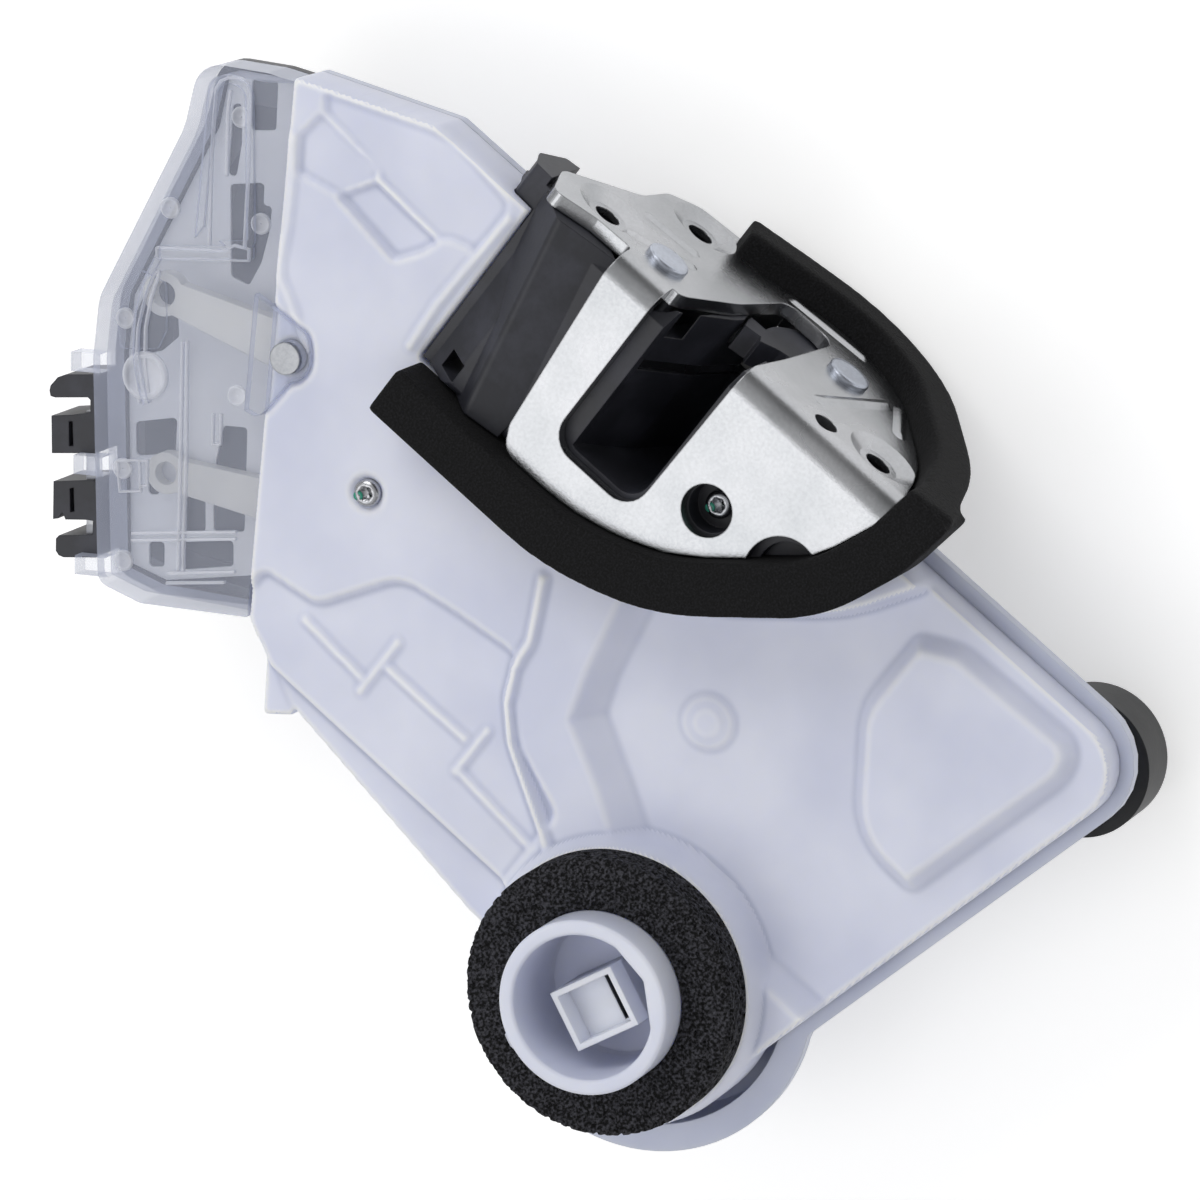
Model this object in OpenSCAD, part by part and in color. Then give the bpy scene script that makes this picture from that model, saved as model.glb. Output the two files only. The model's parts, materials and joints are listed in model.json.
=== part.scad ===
// Power door latch: a fork-and-pawl latch with its lock actuator in one moulded housing.
// Origin: upper fixing hole on the shut face. +X leaves the shut face, +Z leaves the inboard cover,
// +Y runs along the shut face towards the cable end. All sizes in millimetres.

/* [Latch plate] */
// Thickness of the steel plate
plate_t = 2.8; // [2.2:0.1:3.2]
// Outer radius of the bend between face and leg
bend_r = 5; // [4:0.1:6]
// Height of the leg's outer face above the fixing hole row
leg_z = 14.5; // [13:0.1:16]
// Reach of the leg behind the shut face
leg_depth = 43.2; // [41:0.1:45]
// Radius of the threaded fixing holes
fix_r = 2.6; // [2:0.1:3.2]
// Radius of the countersunk dish round each fixing hole
dish_r = 6.9; // [6:0.1:8]
// Depth of the countersunk dish
dish_depth = 1.5; // [1:0.1:1.8]
// Radius of the fork and pawl pins
pin_r = 3.5; // [3:0.1:4]
// Radius of the riveted pin heads
rivet_r = 4; // [3.8:0.1:4.6]

/* [Latch body] */
// Depth of the black body below the hole row
body_low = 35.4; // [35:0.1:37]
// Thickness of the fork and the pawl
fork_t = 5.4; // [4:0.1:6]
// Radius of the fork's rim
fork_rim = 17; // [16.5:0.1:17.4]
// Radius of the fork's catch, where the pawl holds it
fork_catch = 20.5; // [20:0.1:20.6]
// Width of the striker slot at its closed end
slot_w = 11.5; // [10.5:0.1:12]
// Thickness of the back plate
back_t = 2; // [1.5:0.1:2.5]

/* [Seals] */
// Width of the foam seal strip
foam_w = 9.8; // [8:0.1:11]
// Height of the foam seal above the leg
foam_proud = 4.5; // [2:0.1:6]
// Width of the foam strip on the shut face
face_foam_w = 7.8; // [7:0.1:9]
// How far the foam seal stands in front of the shut face
foam_front = 5.5; // [4:0.1:7]
// Outer radius of the connector's foam ring
ring_r = 26; // [24:0.1:27]
// Thickness of the connector's foam ring
ring_t = 8; // [6:0.1:10]

/* [Housing] */
// Height of the cover's main face
cover_z = 7; // [6:0.1:8]
// Height of the cover's low face at the key end
low_z = 2.5; // [1.5:0.1:3.5]
// Height where the cover meets the case
part_z = -4; // [-5:0.1:-3.5]
// Height of the case's outboard face
case_z = -20; // [-22:0.1:-19]
// Wall of the cover and the case
wall = 2; // [1.6:0.1:2.4]
// Width of the case's flange outside the cover
flange_w = 3.2; // [2.5:0.1:4]
// Thickness of the case's flange
flange_t = 2.5; // [2:0.1:3]
// Clearance between pieces that seat on each other
gap = 0.2; // [0.15:0.05:0.3]

/* [Connector] */
// Outer radius of the connector tube
tube_r = 16.3; // [15.5:0.1:17]
// Bore radius of the connector tube
tube_bore = 13.5; // [13:0.1:14]
// Height of the tube's rim above the foam ring
tube_proud = 7.5; // [5:0.1:10]
// Length of the connector block
block_l = 13; // [12:0.1:14]
// Width of the connector block
block_w = 10.5; // [9:0.1:11]

/* [Levers] */
// Thickness of the plastic levers
lever_t = 3; // [2.5:0.1:3.2]
// Length of the inside handle lever from pivot to cable end
inside_l = 31; // [29:0.1:32]
// Length of the lock lever from pivot to cable end
lock_l = 32; // [29:0.1:33]
// Radius of the lever pivot pins
pivot_r = 3; // [2.5:0.1:3.2]
// Radial running clearance of a lever on its pin
run = 0.08; // [0.05:0.01:0.1]

/* [Drive] */
// Tooth module of the worm wheel
tooth_m = 1; // [0.95:0.01:1.02]
// Teeth on the worm wheel
wheel_teeth = 28; // [28:1:28]
// Pitch radius of the worm
worm_r = 3.4; // [3.2:0.05:3.6]
// Radius of the motor can
motor_r = 10; // [9:0.1:10.5]
// Length of the motor can
motor_l = 25.4; // [24:0.1:25.6]
// Distance between the motor can's two flats
motor_flat = 15; // [14:0.1:15.5]

/* [Key cylinder] */
// Outer radius of the rubber sleeve
sleeve_r = 13.3; // [13:0.1:14]
// Length of the rubber sleeve below the case
sleeve_l = 11.5; // [10:0.1:14]
// Radius of the key rotor
rotor_r = 5.6; // [5:0.1:5.8]

/* [Hidden] */
$fn = 48;
arc_step = 15;
far = 200;
eps = 0.01;
steel = "#b9bcbf";
black = "#26262a";
white = "#dfe1ee";
milky = "#b9c0d4";
clear = [0.80, 0.84, 0.92, 0.6];
natural = "#e9e6df";
brass = "#b08a4a";

// Fixing holes, rivets and openings of the shut face, as [y, z]
hole_a = [0, 0];
hole_b = [-10.4, -25.1];
hole_c = [-67, 2.1];
pawl_at = [-14.2, 1.8];
fork_at = [-49.8, -16.4];
small_hole = [-56.2, 8.4];
// Ends of the leg along the shut face, and its screw
leg_y0 = -9;
leg_y1 = -75.6;
leg_screw = [-25.3, -50.2];
notch_at = [-25, -68];
notch_r = 7.2;
leg_hole_r = 4.9;
face_x = -plate_t - gap;
leg_in = leg_z - plate_t - gap;
bend_z = leg_z - bend_r;
// Window in the leg and slot in the face
window_y0 = -19.6;
window_y1 = -40.2;
window_x = -35.6;
slot_y1 = -42.8;
slot_y0 = slot_y1 + slot_w;
slot_z = -25.3;

// Centre of the connector tube and key rotor, pivots of the levers, centre of the worm wheel
ring_at = [-108.6, -91];
key_at = [-27.5, -127];
inside_at = [-61.5, 30];
wheel_at = [-83, -13];
lock_at = [-86, 12.1];
screw_at = [-70.8, 2.7];
foam_z = leg_z + foam_proud;
ring_z = cover_z + 4;
ring_top = ring_z + ring_t;
tube_top = ring_top + tube_proud;
tube_floor = ring_z - 4;

// Border between the white cover and the clear cover
border_a = [-106.5, 6.5];
border_b = [-20.6, 60];
// Sides of the housing: front faces the shut face, back is away from it
front_x = -9.3;
back_x0 = -118;
back_x1 = -124.2;
lobe_r = 33;
lobe_at = [-110.4, -92.6];
deep_in = 6.2;
key_slope = -0.227;
key_y = -142.2;

// Heights of the moving layers inside the housing
floor_z = case_z + wall;
wheel_z0 = -11;
wheel_t = 5.5;
pinion_z0 = wheel_z0 + wheel_t;
lock_z = pinion_z0 + 0.6;
lock_z1 = lock_z + lever_t;
inside_z = lock_z + lever_t + 1.2;
motor_z = wheel_z0 + wheel_t / 2;
wheel_pr = wheel_teeth * tooth_m / 2;
motor_x = wheel_at[0] - wheel_pr - worm_r;
pinion_teeth = 10;
sector_teeth = 40;
pinion_pr = pinion_teeth * tooth_m / 2;
sector_pr = sector_teeth * tooth_m / 2;

// Plane geometry
function xy(p) = [p[0], p[1]];
function unit(v) = v / norm(v);
function left_of(v) = [-v[1], v[0]];
function turned(p, a) = [p[0] * cos(a) - p[1] * sin(a), p[0] * sin(a) + p[1] * cos(a)];
function polar(r, a) = [r * cos(a), r * sin(a)];
function turn_between(p, q) =
    let (d = atan2(q[1], q[0]) - atan2(p[1], p[0])) d > 180 ? d - 360 : d < -180 ? d + 360 : d;

// Arc of radius r that rounds corner b between a and c
function fillet(a, b, c, r) =
    let (u = unit(a - b), w = unit(c - b), half = acos(u * w) / 2)
    r <= 0 || half > 89 ? [b] :
    let (centre = b + unit(u + w) * r / sin(half),
         p = b + u * r / tan(half) - centre,
         q = b + w * r / tan(half) - centre,
         sweep = turn_between(p, q),
         n = max(1, ceil(abs(sweep) / arc_step)))
    [for (i = [0:n]) centre + turned(p, sweep * i / n)];

// Outline with corners [x, y, radius], as points
function rounded(pts) =
    let (n = len(pts))
    [for (i = [0:n - 1]) each fillet(xy(pts[(i + n - 1) % n]), xy(pts[i]), xy(pts[(i + 1) % n]), pts[i][2])];

// Counter-clockwise outline moved inwards by d, corner radii with it
function inset(pts, d) =
    let (n = len(pts))
    [for (i = [0:n - 1])
        let (a = xy(pts[(i + n - 1) % n]), b = xy(pts[i]), c = xy(pts[(i + 1) % n]),
             n1 = left_of(unit(b - a)), n2 = left_of(unit(c - b)),
             s = b + (n1 + n2) * d / (1 + n1 * n2),
             r = cross(b - a, c - b) > 0 ? pts[i][2] - d : pts[i][2] + d)
        [s[0], s[1], pts[i][2] == 0 ? 0 : max(r, 0.3)]];

// Open path with corners [x, y, radius], moved to its left by d
function beside(pts, d) =
    let (n = len(pts))
    [for (i = [0:n - 1])
        let (b = xy(pts[i]), a = i > 0 ? xy(pts[i - 1]) : 2 * b - xy(pts[1]),
             c = i < n - 1 ? xy(pts[i + 1]) : 2 * b - xy(pts[n - 2]),
             n1 = left_of(unit(b - a)), n2 = left_of(unit(c - b)),
             s = b + (n1 + n2) * d / (1 + n1 * n2),
             r = cross(b - a, c - b) > 0 ? pts[i][2] - d : pts[i][2] + d)
        [s[0], s[1], pts[i][2] == 0 ? 0 : max(r, 0.3)]];
function backwards(pts) = [for (i = [len(pts) - 1:-1:0]) pts[i]];

// Solids from outlines
module prism(pts, z0, z1) translate([0, 0, z0]) linear_extrude(z1 - z0) polygon(rounded(pts));
module along_x(pts, x0, x1) translate([x0, 0, 0]) rotate([90, 0, 90]) linear_extrude(x1 - x0) polygon(rounded(pts));
module along_y(pts, y0, y1) translate([0, y1, 0]) rotate([90, 0, 0]) linear_extrude(y1 - y0) polygon(rounded(pts));
module disc(at, r, z0, z1) translate([at[0], at[1], z0]) cylinder(r = r, h = z1 - z0);
module disc_x(at, r, x0, x1) translate([x0, at[0], at[1]]) rotate([0, 90, 0]) cylinder(r = r, h = x1 - x0);
module disc_y(at, r, y0, y1) translate([at[0], y1, at[1]]) rotate([90, 0, 0]) cylinder(r = r, h = y1 - y0);
module box(lo, hi) translate(lo) cube(hi - lo);

// Solid between two outlines with as many points each
module loft(a, z0, b, z1) {
    n = len(a);
    polyhedron(
        points = concat([for (p = a) [p[0], p[1], z0]], [for (p = b) [p[0], p[1], z1]]),
        faces = concat([[for (i = [0:n - 1]) i]], [[for (i = [n - 1:-1:0]) n + i]],
            [for (i = [0:n - 1]) each [[i, n + i, (i + 1) % n], [(i + 1) % n, n + i, n + (i + 1) % n]]]));
}

// Round wire swept along points, for springs
function wire_ring(p, t, r, n) =
    let (s = unit(cross(t, abs(t[2]) < 0.9 ? [0, 0, 1] : [1, 0, 0])), u = cross(s, unit(t)))
    [for (k = [0:n - 1]) p + r * (s * cos(360 * k / n) + u * sin(360 * k / n))];
module wire(path, r, n = 6) {
    m = len(path);
    points = [for (i = [0:m - 1])
        each wire_ring(path[i], path[min(i + 1, m - 1)] - path[max(i - 1, 0)], r, n)];
    faces = concat([[for (k = [0:n - 1]) k]], [[for (k = [n - 1:-1:0]) (m - 1) * n + k]],
        [for (i = [0:m - 2]) for (k = [0:n - 1])
            let (a = i * n + k, b = i * n + (k + 1) % n) each [[a, a + n, b], [b, a + n, b + n]]]);
    polyhedron(points = points, faces = faces);
}
// Torsion spring round the Z axis: turns of wire between two straight tails
function torsion_path(r, pitch, turns, a0, tail) =
    let (n = ceil(turns * 16), a1 = a0 + 360 * turns)
    concat([concat(polar(r, a0) + tail * polar(1, a0 - 90), 0)],
        [for (i = [0:n]) concat(polar(r, a0 + 360 * turns * i / n), pitch * turns * i / n)],
        [concat(polar(r, a1) + tail * polar(1, a1 + 90), pitch * turns)]);

// Screw with a round head and a cross recess, head up at z
module pan_screw(at, z, head_r, length) {
    shank_r = head_r * 0.5;
    difference() {
        union() {
            disc(at, head_r, z - head_r * 0.8, z - head_r * 0.25);
            translate([at[0], at[1], z - head_r * 0.25]) cylinder(r1 = head_r, r2 = head_r * 0.7, h = head_r * 0.25);
            disc(at, shank_r, z - length, z - head_r * 0.8);
        }
        for (a = [20, 110])
            translate([at[0], at[1], z]) rotate([0, 0, a])
                cube([head_r * 1.1, head_r * 0.3, head_r * 0.7], center = true);
    }
}

// Gear teeth round Z, one straight-sided tooth for each pitch from a0 to a1
module flat_teeth(teeth, m, a0, a1, thick) {
    pr = teeth * m / 2;
    step = 360 / teeth;
    for (a = [a0:step:a1 - eps]) rotate(a)
        polygon([[pr - 1.15 * m, -thick * m * 1.35], [pr + 0.9 * m, -thick * m * 0.6],
            [pr + 0.9 * m, thick * m * 0.6], [pr - 1.15 * m, thick * m * 1.35]]);
}
module gear_teeth(teeth, m, z0, z1, a0, a1, thick)
    translate([0, 0, z0]) linear_extrude(z1 - z0) flat_teeth(teeth, m, a0, a1, thick);

// Path of the foam strip's inner edge: along the leg's edge, then down the shut face
leg_path = [[-leg_depth - 0.3, 9.5, 0], [-leg_depth - 0.3, -31.5, 48], [5.6 - leg_depth, -49.5, 40],
    [-19, -70.5, 22], [-6, -75.4, 10], [foam_front + 1, -77.2, 0]];
face_path = [[-17.8, -25.4, 0], [-30, -30, 30], [-44, -34.4, 22], [-58, -28.5, 22], [-73, -6, 38],
    [-78.6, foam_z, 0]];
function right_strip(path, d0, d1) = concat(beside(path, -d1), backwards(beside(path, -d0)));
function left_strip(path, d0, d1) = concat(beside(path, d0), backwards(beside(path, d1)));

// Edge of the notch in the housing that holds the latch
notch_line = concat([[20, 10.4, 0], [-leg_depth - 1, 10.4, 1.5]],
    [for (i = [1:3]) beside(leg_path, -0.7)[i]], [[-9, -77, 0], [20, -86, 0]]);

// Housing outline, moved in by e on its back sides, by f on its front and by g on its top side
function housing(e, f, g) = [
    [front_x - f, key_y + e * 1.25, 13 - e],
    [front_x - f, -50, 0], [-8.1 - g, -50, 0], [-8.1 - g, 33.5, 3], [-19.4 - g, 60.4 - g / 3, 1],
    [border_b[0] - g, border_b[1] - g * 0.62, 0], border_corner, [back_x0 + e, -8 - e / 2, 2],
    [back_x1 + e, -60, 4], [ring_at[0] - 14, ring_at[1], 0],
    [ring_at[0], key_y + e + key_slope * (ring_at[0] - front_x), 0]];
border_corner = [border_a[0], border_a[1], 0];
module beyond_border() prism([[border_a[0] - 9, border_a[1] + 9, 0], [border_a[0], border_a[1], 0],
    [border_b[0], border_b[1], 0], [border_b[0] - 9, border_b[1] + 9, 0]], -far, far);

// Shut face of the plate, [y, z]
face_outline = concat([[-17.4, -34, 2], [-6, -31.8, 4], [-0.8, -26, 4], [0.5, -16, 6], [11.3, 2, 4],
    [8, 12.5, 2], [-1, 8.6, 6], [leg_y0 + 0.2, 8.2, 1], [leg_y0, bend_z + eps, 0], [leg_y1, bend_z + eps, 0]],
    backwards([for (i = [1:4]) beside(face_path, -0.3)[i]]), [[-17.4, -25.5, 1]]);
leg_outline = concat([[-bend_r, leg_y1, 0], [-bend_r, leg_y0, 0], [4.7 - leg_depth, -12.2, 4],
    [-leg_depth, -14.5, 4]], [for (i = [1:3]) beside(leg_path, 0.3)[i]]);
window_outline = [[1, window_y1, 0], [1, window_y0, 0], [window_x, window_y0, 5],
    [window_x, window_y1 + 1.2, 5], [-30, window_y1 + 0.6, 12]];
slot_outline = [[slot_y1, slot_z, 3.5], [slot_y0, slot_z, 3.5], [slot_y0 + 3.6, -7.6, 6],
    [window_y0 - 2.6, 8, 5], [window_y0 - 0.4, bend_z + 1, 0], [window_y1, bend_z + 1, 0], [slot_y1 + 1.4, -2, 8]];

module fix_dish(at) {
    disc_x(at, fix_r, -plate_t - 4, 1);
    translate([-dish_depth, at[0], at[1]]) rotate([0, 90, 0])
        cylinder(r1 = fix_r + 1.4, r2 = dish_r + 0.4, h = dish_depth + 0.1);
}

module latch_plate() color(steel) difference() {
    union() {
        along_x(face_outline, -plate_t, 0);
        prism(leg_outline, leg_z - plate_t, leg_z);
        translate([-bend_r, leg_y0, bend_z]) rotate([90, 0, 0]) intersection() {
            difference() {
                cylinder(r = bend_r, h = leg_y0 - leg_y1);
                translate([0, 0, -1]) cylinder(r = bend_r - plate_t, h = leg_y0 - leg_y1 + 2);
            }
            cube([bend_r, bend_r, leg_y0 - leg_y1]);
        }
    }
    for (at = [hole_a, hole_b, hole_c]) fix_dish(at);
    for (at = [pawl_at, fork_at]) disc_x(at, pin_r - 0.4, -far, far);
    disc_x(small_hole, 2.4, -far, far);
    disc(leg_screw, leg_hole_r, 0, far);
    disc(notch_at, notch_r, 0, far);
    prism(window_outline, bend_z - eps, far);
    along_x(slot_outline, -plate_t - 1, 1);
}

// Layers behind the plate
fork_x1 = face_x - gap;
fork_x0 = fork_x1 - fork_t;
pocket_x = fork_x0 - gap;
back_x = -14.5;
peg_r = 1.6;
peg_at = [-16.4, -7.8];
peg_d = norm(peg_at - pawl_at);
peg_a = atan2(peg_at[1] - pawl_at[1], peg_at[0] - pawl_at[0]);
link_x0 = -26;
link_x1 = -21;
link_z0 = -10;
link_z1 = -5.6;
low_x0 = -31.4;
low_x1 = -26.8;
low_z0 = -15.8;
low_z1 = -12.4;
hook_z0 = -11.4;
hook_z1 = -4;
hook_y0 = -26.6;
hook_y1 = -11.6;
link_travel = 6.2;

// Way of the striker through window and slot, moved in by d
module striker_way(d) intersection() {
    prism(inset([for (p = window_outline) [p[0] > 0 ? far : p[0], p[1], p[2]]], d), -far, far);
    along_x(inset([for (p = slot_outline) [p[0], p[1] > bend_z ? far : p[1], p[2]]], d), -far, far);
}
// Arc the pawl's peg runs along
module peg_way(d, x0, x1) along_x(concat(
    [for (a = [-21:4:15]) concat(pawl_at + polar(peg_d + peg_r + d, peg_a + a), 0)],
    [for (a = [15:-4:-21]) concat(pawl_at + polar(peg_d - peg_r - d, peg_a + a), 0)]), x0, x1);

// Black moulded body behind the plate
body_side = [[face_x, -body_low, 0], [face_x, leg_in - 3, 0], [face_x - 3, leg_in, 0],
    [-leg_depth + 0.2, leg_in, 2], [-leg_depth + 0.2, -body_low, 2]];
body_face = [[-16.6, -33, 2], [-7, -30.6, 3], [-1.4, -24, 3], [7.5, -4, 3], [9.6, 2, 2],
    [9.6, 6, 1], [2, 11.4, 1], [leg_y0 - 0.6, leg_in, 0], [-75, leg_in, 2], [-74, -6, 8], [-59.4, -29.5, 8],
    [-45.5, -body_low, 6], [-30, -31, 6], [-20, -28.2, 2]];
module body_core() intersection() {
    along_x(body_face, -leg_depth + 0.2, face_x);
    along_y(backwards(body_side), -far, far);
    prism(beside(notch_line, 0.5), -far, far);
}
// Pockets of the fork and the pawl, open towards the plate
module fork_room(x1) {
    disc_x(fork_at, fork_rim + 0.6, pocket_x, x1);
    along_x(concat([concat(fork_at, 0)], [for (a = [-66:5:34]) concat(fork_at + polar(fork_catch + 0.6, a), 0)]),
        pocket_x, x1);
    along_x(inset(pawl_shape, -4), pocket_x, x1);
}
ribbed_face = [[7, -9, 0], [14, -7, 1], [17, 0, 1], [15, 5, 1], [7, 6, 0]];
module latch_body() color(black) difference() {
    union() {
        body_core();
        // Raised shoulder beside the leg, with its ridge at a slant
        intersection() {
            translate([0, 4.4, 0]) rotate([0, 0, 11]) along_x([[-far, 0, 0], [far, 0, 0], [far, 1, 0],
                [6.5, 7.2, 0], [0, leg_z - 0.4, 1.5], [-15, 9.5, 0], [-far, 9.5, 0]], -far, far);
            box([-leg_depth + 0.2, leg_y0 - 3.6, -10], [face_x, 9.9, far]);
            prism([[face_x + 1, 20, 0], [-leg_depth - 1, 20, 0], [-leg_depth - 1, -11.2, 0],
                [4 - leg_depth, -11.7, 3], [face_x + 1, -8.3, 0]], -20, far);
        }
        // Land behind the foam strip on the shut face
        intersection() {
            along_x(left_strip(face_path, -1.5, face_foam_w + 0.6), -8.5, -4.5);
            box([-20, -far, -far], [0, far, cover_z]);
        }
        // Ribbed end towards the cables
        difference() {
            along_x(ribbed_face, -12, -1.2);
            box([face_x, -far, -far], [far, 11.1, far]);
            for (i = [0:1]) box([-10.6 + 5.2 * i, 11, -5], [-6.8 + 5.2 * i, 20, 2.6]);
        }
    }
    striker_way(0.9);
    fork_room(face_x + 1);
    for (at = [hole_a, hole_b, hole_c]) disc_x(at, fix_r + 1, -16, face_x + 1);
    for (at = [pawl_at, fork_at]) disc_x(at, pin_r + 0.05, back_x - 4, far);
    disc(leg_screw, leg_hole_r - 0.3, leg_in - 4.6, far);
    disc(leg_screw, 1.37, -8, far);
    disc(notch_at, notch_r - 1.6, leg_in - 2, far);
    translate([-39.2, 3.6, 0]) cube([4, 4, 40], center = true);
    // Rooms of the springs, slit of the back plate, way of the peg and of the release link
    disc_x(fork_at, pin_r + 5, back_x + 0.6, pocket_x + 1);
    disc_x(pawl_at, pin_r + 3.8, back_x + 0.6, pocket_x + 1);
    box([back_x - back_t - gap, -58 - gap, -far], [back_x + gap, -8 + gap, 8 + gap]);
    peg_way(0.5, low_x0 - 0.5, pocket_x + 1);
    links_way();
}
module links_way() {
    box([link_x0 - 0.4, hook_y0 - 0.4, hook_z0 - 0.4], [link_x1 + 0.4, hook_y1 + link_travel + 0.4, hook_z1 + 0.4]);
    box([link_x0 - 0.4, hook_y1, link_z0 - 0.4], [link_x1 + 0.4, 14, link_z1 + 0.4]);
    box([low_x0 - 0.4, hook_y0 - 0.4, low_z0 - 0.4], [low_x1 + 0.4, hook_y1 + link_travel + 0.4, hook_z1 + 0.4]);
    box([low_x0 - 0.4, hook_y1, low_z0 - 0.4], [low_x1 + 0.4, 14, low_z1 + 0.4]);
}

module back_plate() color(steel) difference() {
    box([back_x - back_t, -58, 1.2 - body_low], [back_x, -8, 8]);
    striker_way(0.6);
    peg_way(0.5, -far, far);
    for (at = [pawl_at, fork_at]) disc_x(at, pin_r - 0.9, -far, far);
}

// Fork in its open pose, drawn about its pin
fork_open = 47.5;
fork_mouth = [[7.2, slot_w / 2, 5.6], [7.2, -slot_w / 2, 5.6], [30, -slot_w / 2 - 1, 0], [30, slot_w / 2 + 1, 0]];
module fork_profile(in) difference() {
    union() {
        circle(r = fork_rim - in);
        intersection() {
            circle(r = fork_catch - in);
            polygon([[0, 0], polar(30, fork_open - 43.5 + in), polar(34, fork_open - 36), polar(30, fork_open - 28.5 - in)]);
        }
    }
    rotate(fork_open) polygon(rounded(inset(fork_mouth, -in)));
    rotate(fork_open + 108) translate([fork_rim + 8, 0]) circle(r = 15 + in);
    rotate(fork_open + 180) translate([fork_rim + 11, 0]) circle(r = 17 + in);
}
module about_fork(x0, x1) translate([x0, fork_at[0], fork_at[1]]) rotate([90, 0, 90]) linear_extrude(x1 - x0) children();
jacket_t = 0.9;
module fork() color(steel) difference() {
    about_fork(fork_x0 + jacket_t, fork_x1 - jacket_t) fork_profile(jacket_t);
    disc_x(fork_at, pin_r + run, -far, far);
}
module fork_jacket() color(black) difference() {
    about_fork(fork_x0, fork_x1) fork_profile(0);
    about_fork(fork_x0 + jacket_t, fork_x1 - jacket_t) fork_profile(jacket_t);
    disc_x(fork_at, pin_r + 3, -far, far);
}
module riveted_pin(at) {
    disc_x(at, rivet_r, 0, 1.1);
    disc_x(at, pin_r - 0.4, face_x, 0);
    disc_x(at, pin_r, back_x, face_x);
    disc_x(at, pin_r - 0.9, back_x - back_t - 1, back_x);
}
module fork_pin() color(steel) riveted_pin(fork_at);
module pawl_pin() color(steel) riveted_pin(pawl_at);

// Pawl, clear of the catch, [y, z]
pawl_shape = [[pawl_at[0] - 6, pawl_at[1] + 5, 5], [-24.2, -14, 10], [-27, -23, 6], [-31.8, -27.6, 0.6],
    [-31.2, -31.4, 1], [-25, -29.5, 4], [-17, -14, 8], [pawl_at[0] + 6.5, pawl_at[1] - 3, 5],
    [pawl_at[0] + 5, pawl_at[1] + 6.5, 5]];
module pawl() color(steel) difference() {
    along_x(pawl_shape, fork_x0, fork_x1);
    disc_x(pawl_at, pin_r + run, -far, far);
    disc_x(peg_at, peg_r, -far, fork_x1 - 1.5);
}
module pawl_peg() color(steel) disc_x(peg_at, peg_r, low_x0 + 0.2, fork_x1 - 1.5);
module pin_spring(at, r) translate([back_x + 1.5, at[0], at[1]]) rotate([0, 90, 0])
    wire(torsion_path(r, 1.45, 2.25, 40, 2.6), 0.6);
module fork_spring() color(steel) pin_spring(fork_at, pin_r + 2);
module pawl_spring() color(steel) pin_spring(pawl_at, pin_r + 1.4);
module striker_buffer() color(black) intersection() {
    striker_way(0.9 + gap);
    box([back_x + 0.5, -far, slot_z], [pocket_x - 0.5, far, slot_z + 3.4]);
}
module plate_screw() color(steel) pan_screw(leg_screw, leg_in - 2.4, 2.7, 15);

// Foam strip round the latch: up on the housing, then out over the shut face
module latch_seal() color(black) difference() {
    intersection() {
        union() {
            prism(right_strip(leg_path, 0, foam_w), cover_z + gap, foam_z);
            along_x(left_strip(face_path, 0, face_foam_w), -4.3, foam_front);
        }
        along_y([[-70, -60, 0], [foam_front, -60, 0], [foam_front, foam_z, 6], [-70, foam_z, 0]], -far, far);
    }
    body_core();
    fork_room(face_x + 0.12);
    along_x(inset(face_outline, -0.1), face_x, 0.1);
    box([-6.5, -75.7, 8], [0.1, -70, leg_z + 0.1]);
}

// White inboard cover
ledge_top = [[-50, -46], [-67.4, -49.7], [-77.2, -52.8], [-83.7, -65], [-90, -75]];
ledge_foot = [[-48, -51], [-65.6, -54.4], [-72.6, -56.8], [-79.2, -68.2], [-86.3, -79.7]];
low_top = concat(ledge_top, [[-90, -160], [40, -160], [40, -46]]);
low_foot = concat(ledge_foot, [[-86.3, -160], [40, -160], [40, -51]]);
// Lower left area, one step down along a curved ridge
sunk = [[-96.6, 9.6, 2], [-130, 9.6, 0], [-130, -62, 0], [-93, -62, 2], [-88, -49, 8], [-82.2, -43, 8],
    [-74.6, -38.5, 4], [-76.8, -23.1, 8], [-79, -12, 8], [-94.5, -2.5, 5]];
sunk_z = cover_z - 1.4;
lug = [[-58.3, 26.4, 3], [-55.4, 29.5, 3], [-56.5, 42, 0], [-75, 30.5, 0], [-74.5, 27.6, 2]];
curved_rib = [[-59, -32.8, 0], [-70.4, -38.4, 5], [-76.2, -39, 5], [-82.7, -42, 6], [-88.4, -47.4, 6], [-99.8, -66.4, 0]];
pad = [[-20, -91.5, 3], [-38, -91.5, 14], [-58.5, -106, 16], [-59, -121.3, 3], [-22, -130, 9],
    [-14.5, -128, 6], [-15.5, -100, 6]];
corner_lug = [[-104, 7.2, 0.5], [-110.5, 1, 1], [-121, -6, 1], [-117, -10.5, 1], [-104, -10.5, 0.5]];
ladder = [[[-98.6, -1.7], [-99.6, -17.8]], [[-88.6, -18.8], [-102.5, -18.8]], [[-94.6, -19.9], [-94.4, -40.5]],
    [[-89.5, -42.2], [-101.4, -42.2]], [[-100.2, -42.5], [-101.7, -62]]];
rim_e = 2.6;
boss_at = [[-17, -101], [-72, -115], [-17.5, 40], [-113.5, -62]];
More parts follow.
